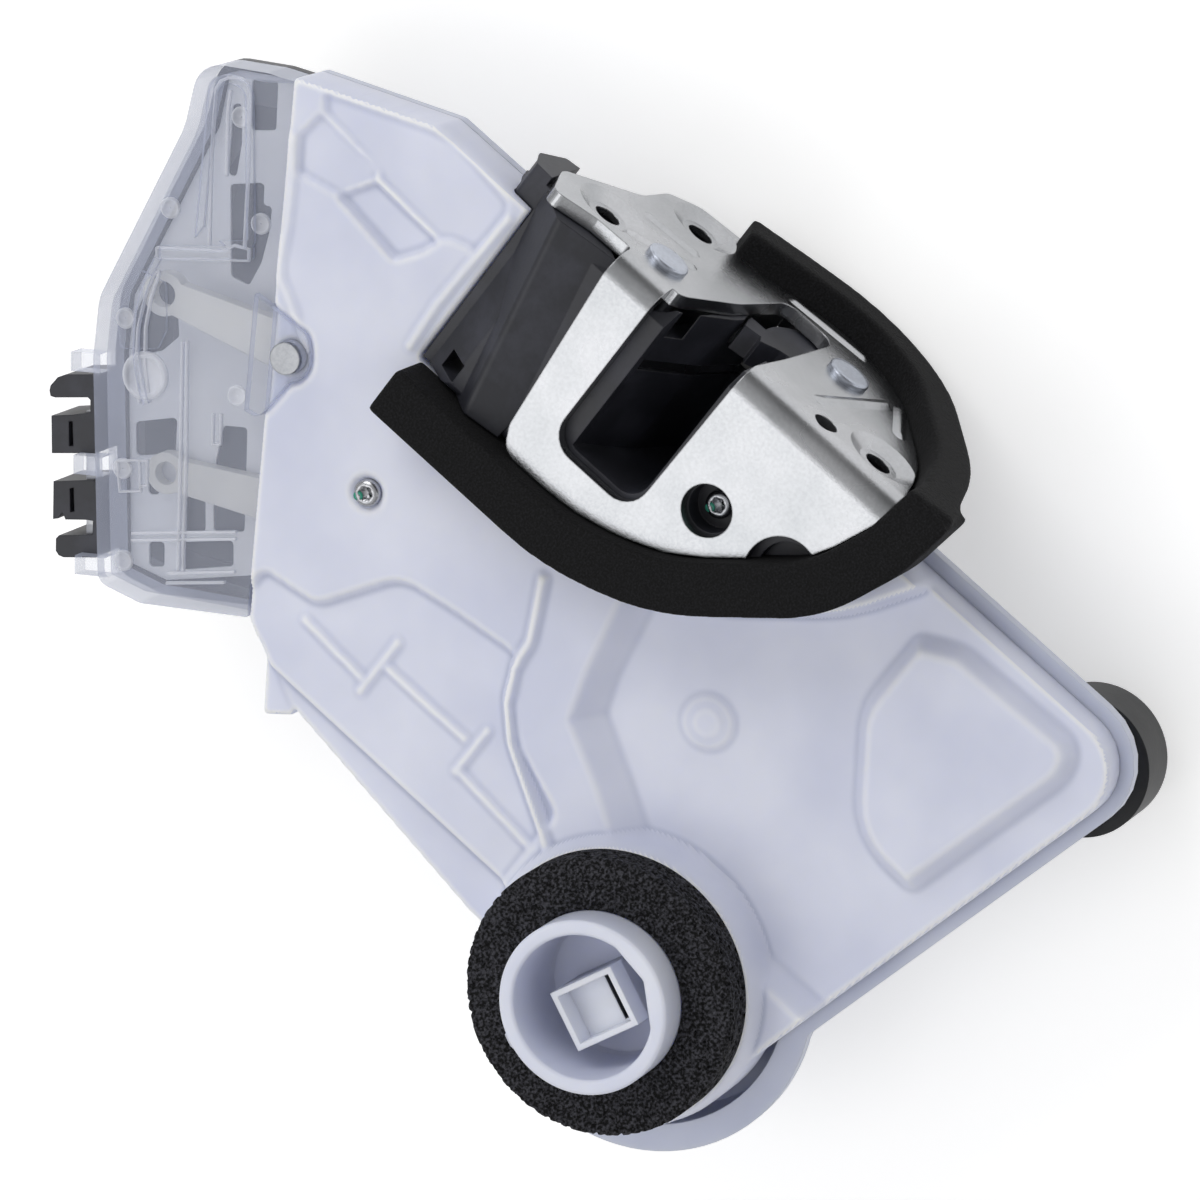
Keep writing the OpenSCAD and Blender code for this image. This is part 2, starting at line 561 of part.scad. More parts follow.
module cover_top() {
    difference() {
        prism(housing(rim_e, rim_e, 0), part_z, cover_z);
        loft(low_foot, low_z, low_top, cover_z + eps);
        prism(sunk, sunk_z, far);
        box([-far, -far, low_z], [-111.2, far, far]);
    }
    intersection() {
        prism(housing(rim_e, rim_e, 0), part_z, cover_z);
        prism(right_strip(notch_line, 0, foam_w + 1.4), part_z, cover_z);
    }
    disc(ring_at, ring_r + 1.6, part_z, low_z + 1);
    translate([ring_at[0], ring_at[1], low_z + 1])
        cylinder(r1 = ring_r + 1.6, r2 = ring_r + 0.8, h = ring_z - low_z - 1);
    disc(ring_at, tube_r, ring_z - 1, tube_top);
    translate(concat(ring_at, 0)) rotate([0, 0, 157]) box([tube_r - 1, -2, ring_z], [tube_r + 1.2, 2, tube_top - 1]);
    loft(rounded(pad), low_z - 0.5, rounded(inset(pad, 3)), low_z + 3);
    disc([-60.5, -72.6], 5, low_z - 0.5, low_z + 0.8);
    disc([-60.5, -72.6], 3, low_z, low_z + 1.3);
    prism(corner_lug, part_z, 2);
    prism(right_strip(curved_rib, -0.9, 0.9), sunk_z - 1, cover_z + 1.2);
    for (s = ladder) prism(right_strip([concat(s[0], 0), concat(s[1], 0)], -0.7, 0.7), sunk_z - 0.5, sunk_z + 0.8);
}
module cover_room() difference() {
    union() {
        prism(housing(rim_e + wall, rim_e + wall, wall), part_z - 1, low_z - wall);
        difference() {
            intersection() {
                prism(housing(rim_e + wall, rim_e + wall, wall), part_z - 1, cover_z - wall);
                box([-109, -far, part_z], [far, far, far]);
            }
            loft(inset_plain(low_foot, -wall), low_z - wall, inset_plain(low_top, -wall), cover_z - wall + eps);
            prism(inset(sunk, -wall), sunk_z - wall, far);
        }
        disc(ring_at, ring_r - wall, part_z - 1, ring_z - wall);
    }
    disc(ring_at, tube_bore + wall, tube_floor - wall, far);
    for (at = concat([screw_at], boss_at)) disc(at, 3.4, part_z, far);
    prism(right_strip(notch_line, 0, wall), part_z, far);
    prism(inset(lug, -1), cover_z - 2 * wall, far);
}
function inset_plain(pts, d) = [for (p = inset([for (q = pts) concat(q, 0)], d)) xy(p)];
module cover() color(white) difference() {
    cover_top();
    prism(notch_line, -far, far);
    along_x(inset(ribbed_face, -0.4), -12.4, far);
    cover_room();
    disc(ring_at, tube_bore, tube_floor, far);
    translate(concat(ring_at, 0)) rotate([0, 0, -23.5]) box([-4.9, -3.7, part_z], [4.9, 3.7, far]);
    prism(inset(lug, -0.3), cover_z - 1.8, far);
    disc(inside_at, 4.9, cover_z - 1.8, far);
    beyond_border();
    disc(screw_at, 3, cover_z - 1.4, far);
    disc(screw_at, 1.6, -far, far);
    for (at = boss_at) disc(at, 1.27, part_z - 1, low_z - 1);
    disc(inside_at, pivot_r + 0.05, -far, far);
    // Shallow recess beside the latch
    prism([[-20, 46.7, 3], [-31, 35, 3], [-33.5, 20, 3], [-14, 15.5, 4], [-14.5, 30, 4]], cover_z - 1, far);
    links_way();
}
module cover_screw() color(steel) pan_screw(screw_at, cover_z + 0.8, 2.6, 16);

// Milky outboard case
case_posts = [screw_at, inside_at, lock_at, wheel_at];
module outer_case() color(milky) difference() {
    union() {
        prism(housing(0, 0, 0), part_z - gap - flange_t, part_z - gap);
        disc(lobe_at, lobe_r, part_z - gap - flange_t, part_z - gap);
        prism(housing(flange_w, deep_in, deep_in), case_z, part_z - flange_t);
        disc(lobe_at, lobe_r - flange_w, case_z, part_z - flange_t);
        disc(key_at, rotor_r + 3, case_z - 7, case_z);
        disc(outside_at, 5, case_z - 1, case_z);
    }
    prism(notch_line, -far, far);
    along_x(inset(ribbed_face, -0.4), -12.4, far);
    beyond_border();
    difference() {
        union() {
            prism(housing(flange_w + wall, deep_in + wall, deep_in + wall), floor_z, far);
            disc(lobe_at, lobe_r - flange_w - wall, floor_z, far);
        }
        for (at = case_posts) disc(at, 5, case_z, floor_z + 2);
        disc(screw_at, 3.4, case_z, part_z - gap);
        for (at = boss_at) disc(at, 3.4, case_z, part_z - gap);
        disc(key_at, rotor_r + 3, floor_z - 1, floor_z + 1);
        prism(right_strip(notch_line, 0, wall), case_z, part_z - gap);
    }
    disc(key_at, rotor_r + run, -far, far);
    disc(screw_at, 1.32, case_z + 3, far);
    for (at = boss_at) {
        disc(at, 1.6, -far, far);
        disc(at, 2.8, case_z - 1, case_z + 2.3);
    }
    for (at = [inside_at, lock_at, wheel_at]) disc(at, pivot_r, case_z + 0.8, far);
    disc(outside_at, pivot_r, case_z - 2, case_z + wall - 0.2);
    // Ways of the release link and of the outside lever's peg
    links_way();
    outside_way(0.5);
}
module case_screws() color(steel) for (at = boss_at)
    translate(concat(at, case_z)) mirror([0, 0, 1]) pan_screw([0, 0], -0.2, 2.5, 19);

// Clear cover and black base over the cable levers
clear_z = 5;
clear_outline = [[border_a[0] - 0.3, border_a[1] + 0.4, 0.3], [border_b[0] - 0.3, border_b[1] + 0.4, 0.3],
    [-23.2, 65.5, 4], [-30.5, 77.2, 5.5], [-42, 72.2, 10], [-79, 66.3, 8], [-89, 60.4, 5], [-122.5, 34, 3], [-119.8, 25, 3]];
clear_in = concat([[border_a[0] + 7, border_a[1] - 9, 0], [border_b[0] + 7, border_b[1] - 9, 0]],
    [for (i = [2:8]) inset(clear_outline, wall)[i]]);
deep_outline = concat([clear_outline[0], [border_b[0] - deep_in, border_b[1] - deep_in * 0.62 + 0.4, 0.3]],
    [for (i = [2:8]) inset(clear_outline, i < 5 ? deep_in : flange_w)[i]]);
deep_room = concat([[border_a[0] + 7, border_a[1] - 9, 0], [border_b[0] + 1, border_b[1] - 13, 0]],
    [for (i = [2:8]) inset(deep_outline, wall)[i]]);
u_rib = [[-57.5, 56.6, 0], [-50.3, 48.6, 1], [-26.9, 66.9, 3.5], [-30.3, 73.3, 3.5]];
module clear_cover() color(clear) {
    difference() {
        union() {
            prism(clear_outline, clear_z - 1.6, clear_z);
            difference() {
                prism(clear_outline, part_z, clear_z);
                prism(clear_in, part_z - 1, clear_z + 1);
            }
            prism(lug, cover_z - 1.6, cover_z + 0.4);
            disc(inside_at, 4.6, cover_z - 1.6, cover_z + 0.4);
            intersection() {
                prism(clear_outline, clear_z - 1, cover_z);
                prism(inset(lug, -0.1), clear_z - 1, cover_z);
            }
            // Rib in U form, cross bar and arc rib over the lever
            difference() {
                prism(inset(u_rib, -0.8), clear_z - 0.5, clear_z + 1);
                prism(inset(u_rib, 0.8), 0, far);
                box([-66, 48, 0], [-54, 58, 20]);
            }
            prism([[-62.8, 62.6, 0.5], [-64.9, 61, 0.5], [-52.2, 46.6, 0.5], [-50.1, 48.1, 0.5]], clear_z - 0.5, clear_z + 0.8);
            intersection() {
                difference() {
                    disc(inside_at, inside_l + 1.2, clear_z - 0.5, clear_z + 1);
                    disc(inside_at, inside_l, 0, far);
                }
                prism([[-61.5, 30, 0], [-66, 70, 0], [-100, 66, 0], [-100, 54, 0]], 0, 20);
            }
            for (s = [[-93.2, 63.2], [-108.6, 51], [-123.8, 39.2]])
                translate([s[0], s[1], 0]) rotate([0, 0, 37]) box([-1.8, -5.9, -2.4], [1.8, 1.4, 2]);
        }
        disc(inside_at, pivot_r + 0.05, -far, far);
        prism([[-69.7, 63.4, 1], [-68.2, 57.8, 1], [-75.1, 52.4, 1], [-79.2, 51.6, 1], [-84.2, 57.4, 1], [-80.1, 61.3, 1],
            [-74.5, 63, 1]], 0, clear_z - 0.6);
    }
}
module lever_base() color(black) difference() {
    union() {
        prism(clear_outline, part_z - gap - flange_t, part_z - gap);
        prism(deep_outline, case_z, part_z - flange_t);
    }
    prism(deep_room, floor_z, far);
    prism(clear_in, part_z - gap - flange_t + 1, far);
}

// Holder of the two control cables, laid out along the housing's slanted side
clip_n = [-0.602, 0.799];
module at_clips() translate([-96.9, 61.3, 0]) rotate([0, 0, 217]) children();
groove_s = [12, 25];
module cable_holder() color(black) at_clips() difference() {
    union() {
        box([-0.5, -2.2, -13], [36.5, 0, -3]);
        for (s = [3, 27]) box([s, -1, -12.5], [s + 6, 8.6, -8.5]);
        box([0.4, -7.2, -9], [4.8, 0, -1]);
        box([31.8, -7.2, -9], [36.2, 0, -1]);
        box([groove_s[0] - 3.8, -7, -12], [groove_s[0] + 3.8, 0, -1]);
        box([groove_s[1] - 3.8, -7, -12], [groove_s[1] + 3.8, 0, -1]);
    }
    for (s = groove_s) {
        box([s - 2.1, -9, -8], [s + 2.1, 1, 0]);
        box([s - 2.9, -4.6, -8.6], [s + 2.9, -2.8, 0]);
    }
}
module cable_strap() color(clear) at_clips() box([6, 0.2, -3.8], [32, 2.4, -2.6]);

// Inside handle lever: cable end over the arc rib, short arm to the release link
inside_rest = 109;
arm_a = -15;
arm_r = 12;
module arm(at, a, r0, w0, r1, w1, z0, z1) translate(concat(at, 0)) rotate([0, 0, a])
    prism([[r0, -w0, 0], [r1, -w1, 0], [r1, w1, 0], [r0, w0, 0]], z0, z1);
module spot(at, r) translate(at) circle(r = r);
module flat_arm(at, a, r0, w0, r1, w1) translate(at) rotate(a)
    polygon([[r0, -w0], [r1, -w1], [r1, w1], [r0, w0]]);
module slab(z0, z1) translate([0, 0, z0]) linear_extrude(z1 - z0) children();
module inside_lever() color(natural) {
    slab(inside_z, inside_z + lever_t) difference() {
        union() {
            spot(inside_at, 6.5);
            flat_arm(inside_at, inside_rest, 2, 4.6, inside_l - 3, 3);
            spot(inside_at + polar(inside_l - 2, inside_rest), 4.2);
            flat_arm(inside_at, arm_a, 2, 3.6, arm_r - 0.6, 2.3);
            spot(inside_at + polar(arm_r, arm_a), 2.6);
        }
        spot(inside_at, pivot_r + run);
        spot(inside_at + polar(inside_l - 2, inside_rest), 2.4);
    }
    disc(inside_at + polar(arm_r, arm_a), 1.8, link_z0 + 0.4, inside_z + 0.5);
}
module inside_pin() color(steel) disc(inside_at, pivot_r, case_z + 0.8, cover_z + 1.2);
module lever_spring(at, r, z, n) translate(concat(at, z)) wire(torsion_path(r, 1.3, n, 200, 5), 0.5);
module inside_spring() color(steel) lever_spring(inside_at, pivot_r + 1.3, inside_z - 4.6, 2.5);

// Links from the levers to the pawl's peg, each with a window that the peg stands in
module link_window(x0, x1) box([x0 - 1, hook_y0 + 2.1, link_z0 - 0.1], [x1 + 1, hook_y1 - 2.2, link_z1 + 0.1]);
module release_link() color(natural) difference() {
    union() {
        box([-54.4, 21.9, link_z0], [link_x0 + 1, 31.9, link_z1]);
        box([link_x0, hook_y1 - 3, link_z0], [link_x1, 31.9, link_z1]);
        box([link_x0, hook_y0, hook_z0], [link_x1, hook_y1, hook_z1]);
    }
    translate(concat(inside_at + polar(arm_r, arm_a), 0)) box([-2.4, -2.1, -far], [2.9, 2.1, far]);
    link_window(link_x0, link_x1);
}
module outside_link() color(natural) difference() {
    union() {
        box([-44.4, 15, low_z0], [low_x0 + 1, 23, low_z1]);
        box([low_x0, hook_y1 - 3, low_z0], [low_x1, 23, low_z1]);
        box([low_x0, hook_y0, low_z0], [low_x1, hook_y1, hook_z1]);
    }
    translate(concat(outside_peg, 0)) box([-2.3, -2.1, -far], [2.6, 2.1, far]);
    link_window(low_x0, low_x1);
}

// Lock lever with its toothed sector
lock_rest = 118;
mesh_a = atan2(wheel_at[1] - lock_at[1], wheel_at[0] - lock_at[0]);
module lock_lever() color(natural) translate(concat(lock_at, 0)) slab(lock_z, lock_z1) difference() {
    union() {
        spot([0, 0], 6);
        flat_arm([0, 0], lock_rest, 2, 4.2, lock_l - 3, 3);
        spot(polar(lock_l - 3, lock_rest), 4);
        intersection() {
            spot([0, 0], sector_pr - 1.1 * tooth_m);
            polygon([[2, 3], polar(40, mesh_a - 46), polar(40, mesh_a + 16)]);
        }
        flat_teeth(sector_teeth, tooth_m, mesh_a - 45, mesh_a + 18 - eps, 0.5);
    }
    spot([0, 0], pivot_r + run);
    spot(polar(lock_l - 3, lock_rest), 2.2);
    // Window between hub and teeth
    intersection() {
        difference() {
            spot([0, 0], sector_pr - 4.6);
            spot([0, 0], 8.5);
        }
        polygon([[0, 0], polar(40, mesh_a - 34), polar(40, mesh_a + 4)]);
    }
}
module lock_pin() color(steel) disc(lock_at, pivot_r, case_z + 0.8, lock_z + lever_t + 0.8);

// Worm wheel with the pinion that drives the lock lever
wheel_gap = 360 / wheel_teeth / 2;
module worm_wheel() color(natural) translate(concat(wheel_at, 0)) difference() {
    union() {
        disc([0, 0], wheel_pr - 1.1 * tooth_m, wheel_z0, wheel_z0 + wheel_t);
        gear_teeth(wheel_teeth, tooth_m, wheel_z0, wheel_z0 + wheel_t, 180 + wheel_gap, 539 + wheel_gap, 0.5);
        disc([0, 0], pinion_pr - 1.1 * tooth_m, pinion_z0 - 1, pinion_z1);
        gear_teeth(pinion_teeth, tooth_m, pinion_z0 - 1, pinion_z1, mesh_a + 180 + 18, mesh_a + 539 + 18, 0.5);
    }
    difference() {
        disc([0, 0], wheel_pr - 3.4, pinion_z0 - 1.4, pinion_z0 + eps);
        disc([0, 0], pinion_pr + 2, -far, far);
    }
    disc([0, 0], wheel_bore + run, -far, far);
}
pinion_z1 = lock_z + lever_t + 0.4;
wheel_bore = 2;
module wheel_pin() color(steel) {
    disc(wheel_at, wheel_bore, floor_z + 1, pinion_z1 + 0.8);
    disc(wheel_at, pivot_r, case_z + 0.8, floor_z + 2);
}

// Lock motor
motor_y0 = -52;
motor_y1 = motor_y0 + motor_l;
module motor_can() color(steel) difference() {
    intersection() {
        disc_y([motor_x, motor_z], motor_r, motor_y0, motor_y1);
        box([-far, -far, motor_z - motor_flat / 2], [far, far, motor_z + motor_flat / 2]);
    }
    disc_y([motor_x, motor_z], motor_r - 1.2, motor_y0 - 1, motor_y0 + 2);
    disc_y([motor_x, motor_z], 1.1, -far, far);
}
module motor_cap() color(black) difference() {
    intersection() {
        union() {
            disc_y([motor_x, motor_z], motor_r - 1.2, motor_y0 - 0.4, motor_y0 + 2);
            disc_y([motor_x, motor_z], 3, motor_y0 - 2.4, motor_y0);
        }
        box([-far, -far, motor_z - motor_flat / 2], [far, far, motor_z + motor_flat / 2]);
    }
    disc_y([motor_x, motor_z], 1.1, -far, far);
    for (s = [-1, 1]) box([motor_x + s * 5.5 - 0.6, -60, motor_z - 1.6], [motor_x + s * 5.5 + 0.6, -40, motor_z + 1.6]);
}
module motor_contacts() color(brass) for (s = [-1, 1])
    box([motor_x + s * 5.5 - 0.4, motor_y0 - 4.5, motor_z - 1.4], [motor_x + s * 5.5 + 0.4, motor_y0 + 2, motor_z + 1.4]);
module motor_shaft() color(steel) disc_y([motor_x, motor_z], 1, motor_y0 + 0.5, 1);
worm_pitch = PI * tooth_m;
worm_y0 = wheel_at[1] - 8;
worm_y1 = wheel_at[1] + 8;
// Thread profile swept round the worm, crossing the wheel's centre line between two teeth
module worm() color(natural) difference() {
    union() {
        disc_y([motor_x, motor_z], worm_r - 1.1 * tooth_m, worm_y0 - 1.5, worm_y1 + 0.8);
        translate([motor_x, 0, motor_z]) thread(worm_y0, wheel_at[1], worm_y1);
    }
    disc_y([motor_x, motor_z], 1, -far, far);
}
module thread(y0, y_mesh, y1) {
    n = 20;
    m = floor((y1 - y0) / worm_pitch * n);
    r0 = worm_r - 1.4 * tooth_m;
    r1 = worm_r + 0.85 * tooth_m;
    section = [[r0, -0.75], [r1, -0.3], [r1, 0.3], [r0, 0.75]];
    points = [for (i = [0:m]) let (a = (i - m / 2) * 360 / n, y = y_mesh + worm_pitch * a / 360)
        each [for (s = section) [s[0] * cos(a), y + s[1], -s[0] * sin(a)]]];
    faces = concat([[3, 2, 1, 0]], [[for (k = [0:3]) 4 * m + k]],
        [for (i = [0:m - 1]) for (k = [0:3]) let (a = 4 * i + k, b = 4 * i + (k + 1) % 4)
            each [[a, b, a + 4], [b, b + 4, a + 4]]]);
    polyhedron(points = points, faces = faces);
}
module worm_bearing() color(black) difference() {
    box([motor_x - 5, 1.2 - 5, floor_z + gap], [motor_x + 5, 1.2, motor_z + 2.8]);
    disc_y([motor_x, motor_z], 1.05, -far, 0.6 + 1);
}

// Switches, lead frame and connector
module lock_switch() color(black) box([-78, -38, floor_z + gap], [-60, -31, floor_z + 9]);
module key_switch() color(black) box([-56, -121, floor_z + gap], [-49, -104, floor_z + 8]);
// Contact strips from the connector's pins to the motor and the switches, on their carrier
lead_z = -2.6;
lead_paths = [
    [[-104.9, -89.6], [-104.9, -60], [-94.9, -60], [-94.9, -57.4]],
    [[-105.4, -91.2], [-107.2, -91.2], [-107.2, -57.4]],
    [[-106.8, -93.2], [-87.6, -93.2], [-87.6, -35.4], [-76.6, -35.4]],
    [[-107.6, -95.2], [-58, -95.2], [-58, -105], [-54, -105]]];
function with_r(path, r) = [for (p = path) concat(p, r)];
module lead_frame() color(brass) {
    for (path = lead_paths) prism(right_strip(with_r(path, 0), -0.45, 0.45), lead_z, lead_z + 0.6);
    for (x = [-94.9, -106.9]) box([x - 0.45, -57.6, -9], [x + 0.45, -57, lead_z + 0.6]);
    box([-77.2, -35.85, floor_z + 9], [-76.6, -34.95, lead_z + 0.6]);
    box([-54.6, -105.45, floor_z + 8], [-54, -104.55, lead_z + 0.6]);
}
module contact_carrier() color(black) {
    prism([[-110, -97, 1], [-92, -97, 1], [-92, -58.6, 1], [-110, -58.6, 1]], lead_z - 1.4, lead_z);
    prism(right_strip(with_r(lead_paths[2], 0), -1.6, 1.6), lead_z - 1.4, lead_z);
    prism(right_strip(with_r(lead_paths[3], 0), -1.6, 1.6), lead_z - 1.4, lead_z);
    for (at = [[-101, -78], [-87.6, -60], [-62, -95.2]]) disc(at, 1.5, floor_z, lead_z - 1);
}
module connector_block() color(white) difference() {
    translate(concat(ring_at, 0)) rotate([0, 0, -23.5]) {
        difference() {
            union() {
                box([-block_l / 2, -block_w / 2, tube_floor + gap], [block_l / 2, block_w / 2, 16]);
                box([-4.7, -3.5, tube_floor - wall - 1], [4.7, 3.5, tube_floor + 1]);
            }
            box([1.6, -4, tube_floor + 2], [3.8, 4, far]);
        }
    }
}
module connector_pins() color(brass) translate(concat(ring_at, 0)) rotate([0, 0, -23.5])
    for (y = [-3, -1, 1, 3]) box([2.4, y - 0.3, lead_z + 0.6], [3, y + 0.3, 14.5]);
module connector_seal() color(black) difference() {
    disc(ring_at, ring_r, ring_z + gap, ring_top);
    disc(ring_at, tube_r + 0.3, 0, far);
    translate(concat(ring_at, 0)) rotate([0, 0, 157]) box([tube_r - 2, -2.3, 0], [tube_r + 1.5, 2.3, far]);
}

// Key cylinder rotor, its lever and rubber sleeve
module key_rotor() color(black) difference() {
    union() {
        disc(key_at, rotor_r, case_z - 8, floor_z + 3);
        disc(key_at, 3, floor_z + 3, floor_z + 6);
    }
    translate(concat(key_at, 0)) box([-3.9, -1.1, case_z - 9], [3.9, 1.1, case_z]);
}
module key_lever() color(natural) slab(floor_z + 3.2, floor_z + 5.6) difference() {
    union() {
        spot(key_at, rotor_r - 0.2);
        flat_arm(key_at, 155, 4, 3.6, 19, 2.4);
    }
    spot(key_at, 3);
}
module key_sleeve() color(black) difference() {
    disc(key_at, sleeve_r, case_z - sleeve_l, case_z - gap);
    disc(key_at, sleeve_r - 2.4, case_z - sleeve_l - 1, case_z - 3);
    disc(key_at, rotor_r + 3.2, -far, far);
}

// Outside handle lever on the outboard side, its peg reaching through the case to the link
outside_at = [-60, 22];
outside_r = 19.8;
outside_a = -9;
outside_peg = outside_at + polar(outside_r, outside_a);
module outside_way(d) translate([0, 0, case_z - 1]) linear_extrude(5) polygon(concat(
    [for (a = [-7:4:25]) outside_at + polar(outside_r + 1.8 + d, outside_a + a)],
    [for (a = [25:-4:-7]) outside_at + polar(outside_r - 1.8 - d, outside_a + a)]));
module outside_lever() color(steel) {
    slab(case_z - 3.4, case_z - 1.2) difference() {
        union() {
            spot(outside_at, 7);
            flat_arm(outside_at, outside_a, 5, 4, outside_r, 3);
            spot(outside_peg, 3.2);
            flat_arm(outside_at, 205, 5, 4.5, 26, 4);
        }
        spot(outside_at, pivot_r + run);
        spot(outside_at + polar(21, 205), 2.6);
    }
    disc(outside_peg, 1.8, case_z - 1.3, low_z1 + 0.2);
}
module outside_pin() color(steel) {
    disc(outside_at, pivot_r, case_z - 6.3, case_z + wall - 0.2);
    disc(outside_at, pivot_r + 1.6, case_z - 7.4, case_z - 6.2);
}
module outside_spring() color(steel) lever_spring(outside_at, pivot_r + 1.1, case_z - 5.6, 1.25);

latch_plate();
latch_body();
back_plate();
fork();
fork_jacket();
fork_pin();
fork_spring();
pawl();
pawl_peg();
pawl_pin();
pawl_spring();
striker_buffer();
plate_screw();
latch_seal();
cover();
cover_screw();
outer_case();
case_screws();
clear_cover();
lever_base();
cable_holder();
cable_strap();
inside_lever();
inside_pin();
inside_spring();
release_link();
outside_link();
lock_lever();
lock_pin();
worm_wheel();
wheel_pin();
motor_can();
motor_cap();
motor_contacts();
motor_shaft();
worm();
worm_bearing();
lock_switch();
key_switch();
lead_frame();
contact_carrier();
connector_block();
connector_pins();
connector_seal();
key_rotor();
key_lever();
key_sleeve();
outside_lever();
outside_pin();
outside_spring();
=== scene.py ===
# %% [markdown]
# Dressing a door latch.
# The solids of this door latch come from a CAD file. They have the right sizes and places, but
# flat colours and knife-sharp edges. This script gives every piece rounded edges and the finish of
# its real material: milky moulded plastic, zinc-plated steel, black nylon, foam and rubber.
# It starts by loading the solids as a fixed frame. Everything is in metres.
# %% Load the solids
import bpy, bmesh, math, json, random
from mathutils import Vector, Matrix


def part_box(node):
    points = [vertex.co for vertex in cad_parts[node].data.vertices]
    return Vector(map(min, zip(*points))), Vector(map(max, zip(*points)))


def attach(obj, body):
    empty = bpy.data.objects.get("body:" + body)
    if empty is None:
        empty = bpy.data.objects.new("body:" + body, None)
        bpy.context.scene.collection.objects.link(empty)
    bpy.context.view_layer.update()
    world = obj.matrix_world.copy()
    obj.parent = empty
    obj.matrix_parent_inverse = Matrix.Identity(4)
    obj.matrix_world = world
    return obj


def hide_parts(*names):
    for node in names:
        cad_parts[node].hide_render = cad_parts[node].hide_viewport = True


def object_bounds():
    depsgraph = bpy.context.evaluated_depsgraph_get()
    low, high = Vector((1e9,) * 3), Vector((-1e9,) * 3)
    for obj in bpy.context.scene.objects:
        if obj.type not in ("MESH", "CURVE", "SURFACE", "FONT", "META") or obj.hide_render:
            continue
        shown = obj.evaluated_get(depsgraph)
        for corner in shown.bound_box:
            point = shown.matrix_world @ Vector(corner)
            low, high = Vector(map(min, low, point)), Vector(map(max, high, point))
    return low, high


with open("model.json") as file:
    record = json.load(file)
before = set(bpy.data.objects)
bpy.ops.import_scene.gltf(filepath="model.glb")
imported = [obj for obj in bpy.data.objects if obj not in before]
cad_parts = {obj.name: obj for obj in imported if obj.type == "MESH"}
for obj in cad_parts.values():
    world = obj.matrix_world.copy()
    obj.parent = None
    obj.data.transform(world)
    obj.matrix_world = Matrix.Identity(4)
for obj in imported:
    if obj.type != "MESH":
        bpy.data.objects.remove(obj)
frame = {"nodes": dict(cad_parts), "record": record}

cad_low, cad_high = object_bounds()
nodes = frame["nodes"]
slot_of = {s["node"]: s["material_slot"] for s in frame["record"]["subparts"]}
MM = 0.001
print("solids:", len(nodes), "box in mm:", [round(v / MM) for v in cad_high - cad_low])

# %% [markdown]
# Every finish is a small graph of shader nodes. Small helpers keep the graphs short. One turns a
# hex colour, as a colour picker shows it, into the linear values that a renderer works with.
# Another adds one node with its values and links. No moulded or stamped edge is a knife
# edge, so every material starts with a Bevel node, which bends the light over an edge as if it
# were rounded by some tenths of a millimetre.
# %% Helpers for materials
def paint(code):
    """Hex sRGB colour as linear RGBA."""
    parts = [int(code[i:i + 2], 16) / 255 for i in (1, 3, 5)]
    return tuple(p / 12.92 if p <= 0.04045 else ((p + 0.055) / 1.055) ** 2.4 for p in parts) + (1.0,)

def set_inputs(tree, node, inputs):
    """Sets each named input to a value, or links it to another node's output."""
    for name, given in inputs.items():
        if isinstance(given, bpy.types.NodeSocket):
            tree.links.new(given, node.inputs[name])
        else:
            node.inputs[name].default_value = given

def add(tree, kind, inputs=None, **settings):
    """One node with its settings and its inputs."""
    node = tree.nodes.new(kind)
    for name, value in settings.items():
        setattr(node, name, value)
    set_inputs(tree, node, inputs or {})
    return node

def new_material(name, edge_mm=0.35):
    """An empty material with its output, its shader and the object's own coordinates."""
    material = bpy.data.materials.new(name)
    material.use_nodes = True
    tree = material.node_tree
    tree.nodes.clear()
    shader = add(tree, "ShaderNodeBsdfPrincipled")
    add(tree, "ShaderNodeOutputMaterial", {"Surface": shader.outputs[0]})
    place = add(tree, "ShaderNodeTexCoord").outputs["Object"]
    soft_edge = add(tree, "ShaderNodeBevel", {"Radius": edge_mm * MM}, samples=4, name="soft edge")
    tree.links.new(soft_edge.outputs["Normal"], shader.inputs["Normal"])
    return material, tree, shader, place

def roughen(tree, shader, height, strength, distance_mm):
    """A small relief from a height, on top of the soft edges."""
    bump = add(tree, "ShaderNodeBump", {"Strength": strength, "Distance": distance_mm * MM, "Height": height,
                                        "Normal": tree.nodes["soft edge"].outputs["Normal"]})
    tree.links.new(bump.outputs["Normal"], shader.inputs["Normal"])

def ramp(tree, source, low, high, at=(0.35, 0.65)):
    """Colour that goes from low to high as the source grows between two values."""
    node = add(tree, "ShaderNodeValToRGB", {"Fac": source})
    for element, position, code in zip(node.color_ramp.elements, at, (low, high)):
        element.position, element.color = position, paint(code)
    return node.outputs["Color"]

def noise(tree, place, scale, detail, roughness=0.5):
    """Soft random values. A scale of 1000 gives spots of about a millimetre."""
    inputs = {"Vector": place, "Scale": scale, "Detail": detail, "Roughness": roughness}
    return add(tree, "ShaderNodeTexNoise", inputs).outputs["Fac"]

def scaled(tree, source, low, high, start=0.0, stop=1.0):
    """A value that goes from low to high as the source goes from start to stop."""
    inputs = {"Value": source, "From Min": start, "From Max": stop, "To Min": low, "To Max": high}
    return add(tree, "ShaderNodeMapRange", inputs).outputs["Result"]

def mixed(tree, factor, first, second, **settings):
    """Two colours mixed. Each of the three may be a value or another node's output."""
    inputs = {"Factor": factor, "A": first, "B": second}
    return add(tree, "ShaderNodeMix", inputs, data_type="RGBA", **settings).outputs["Result"]

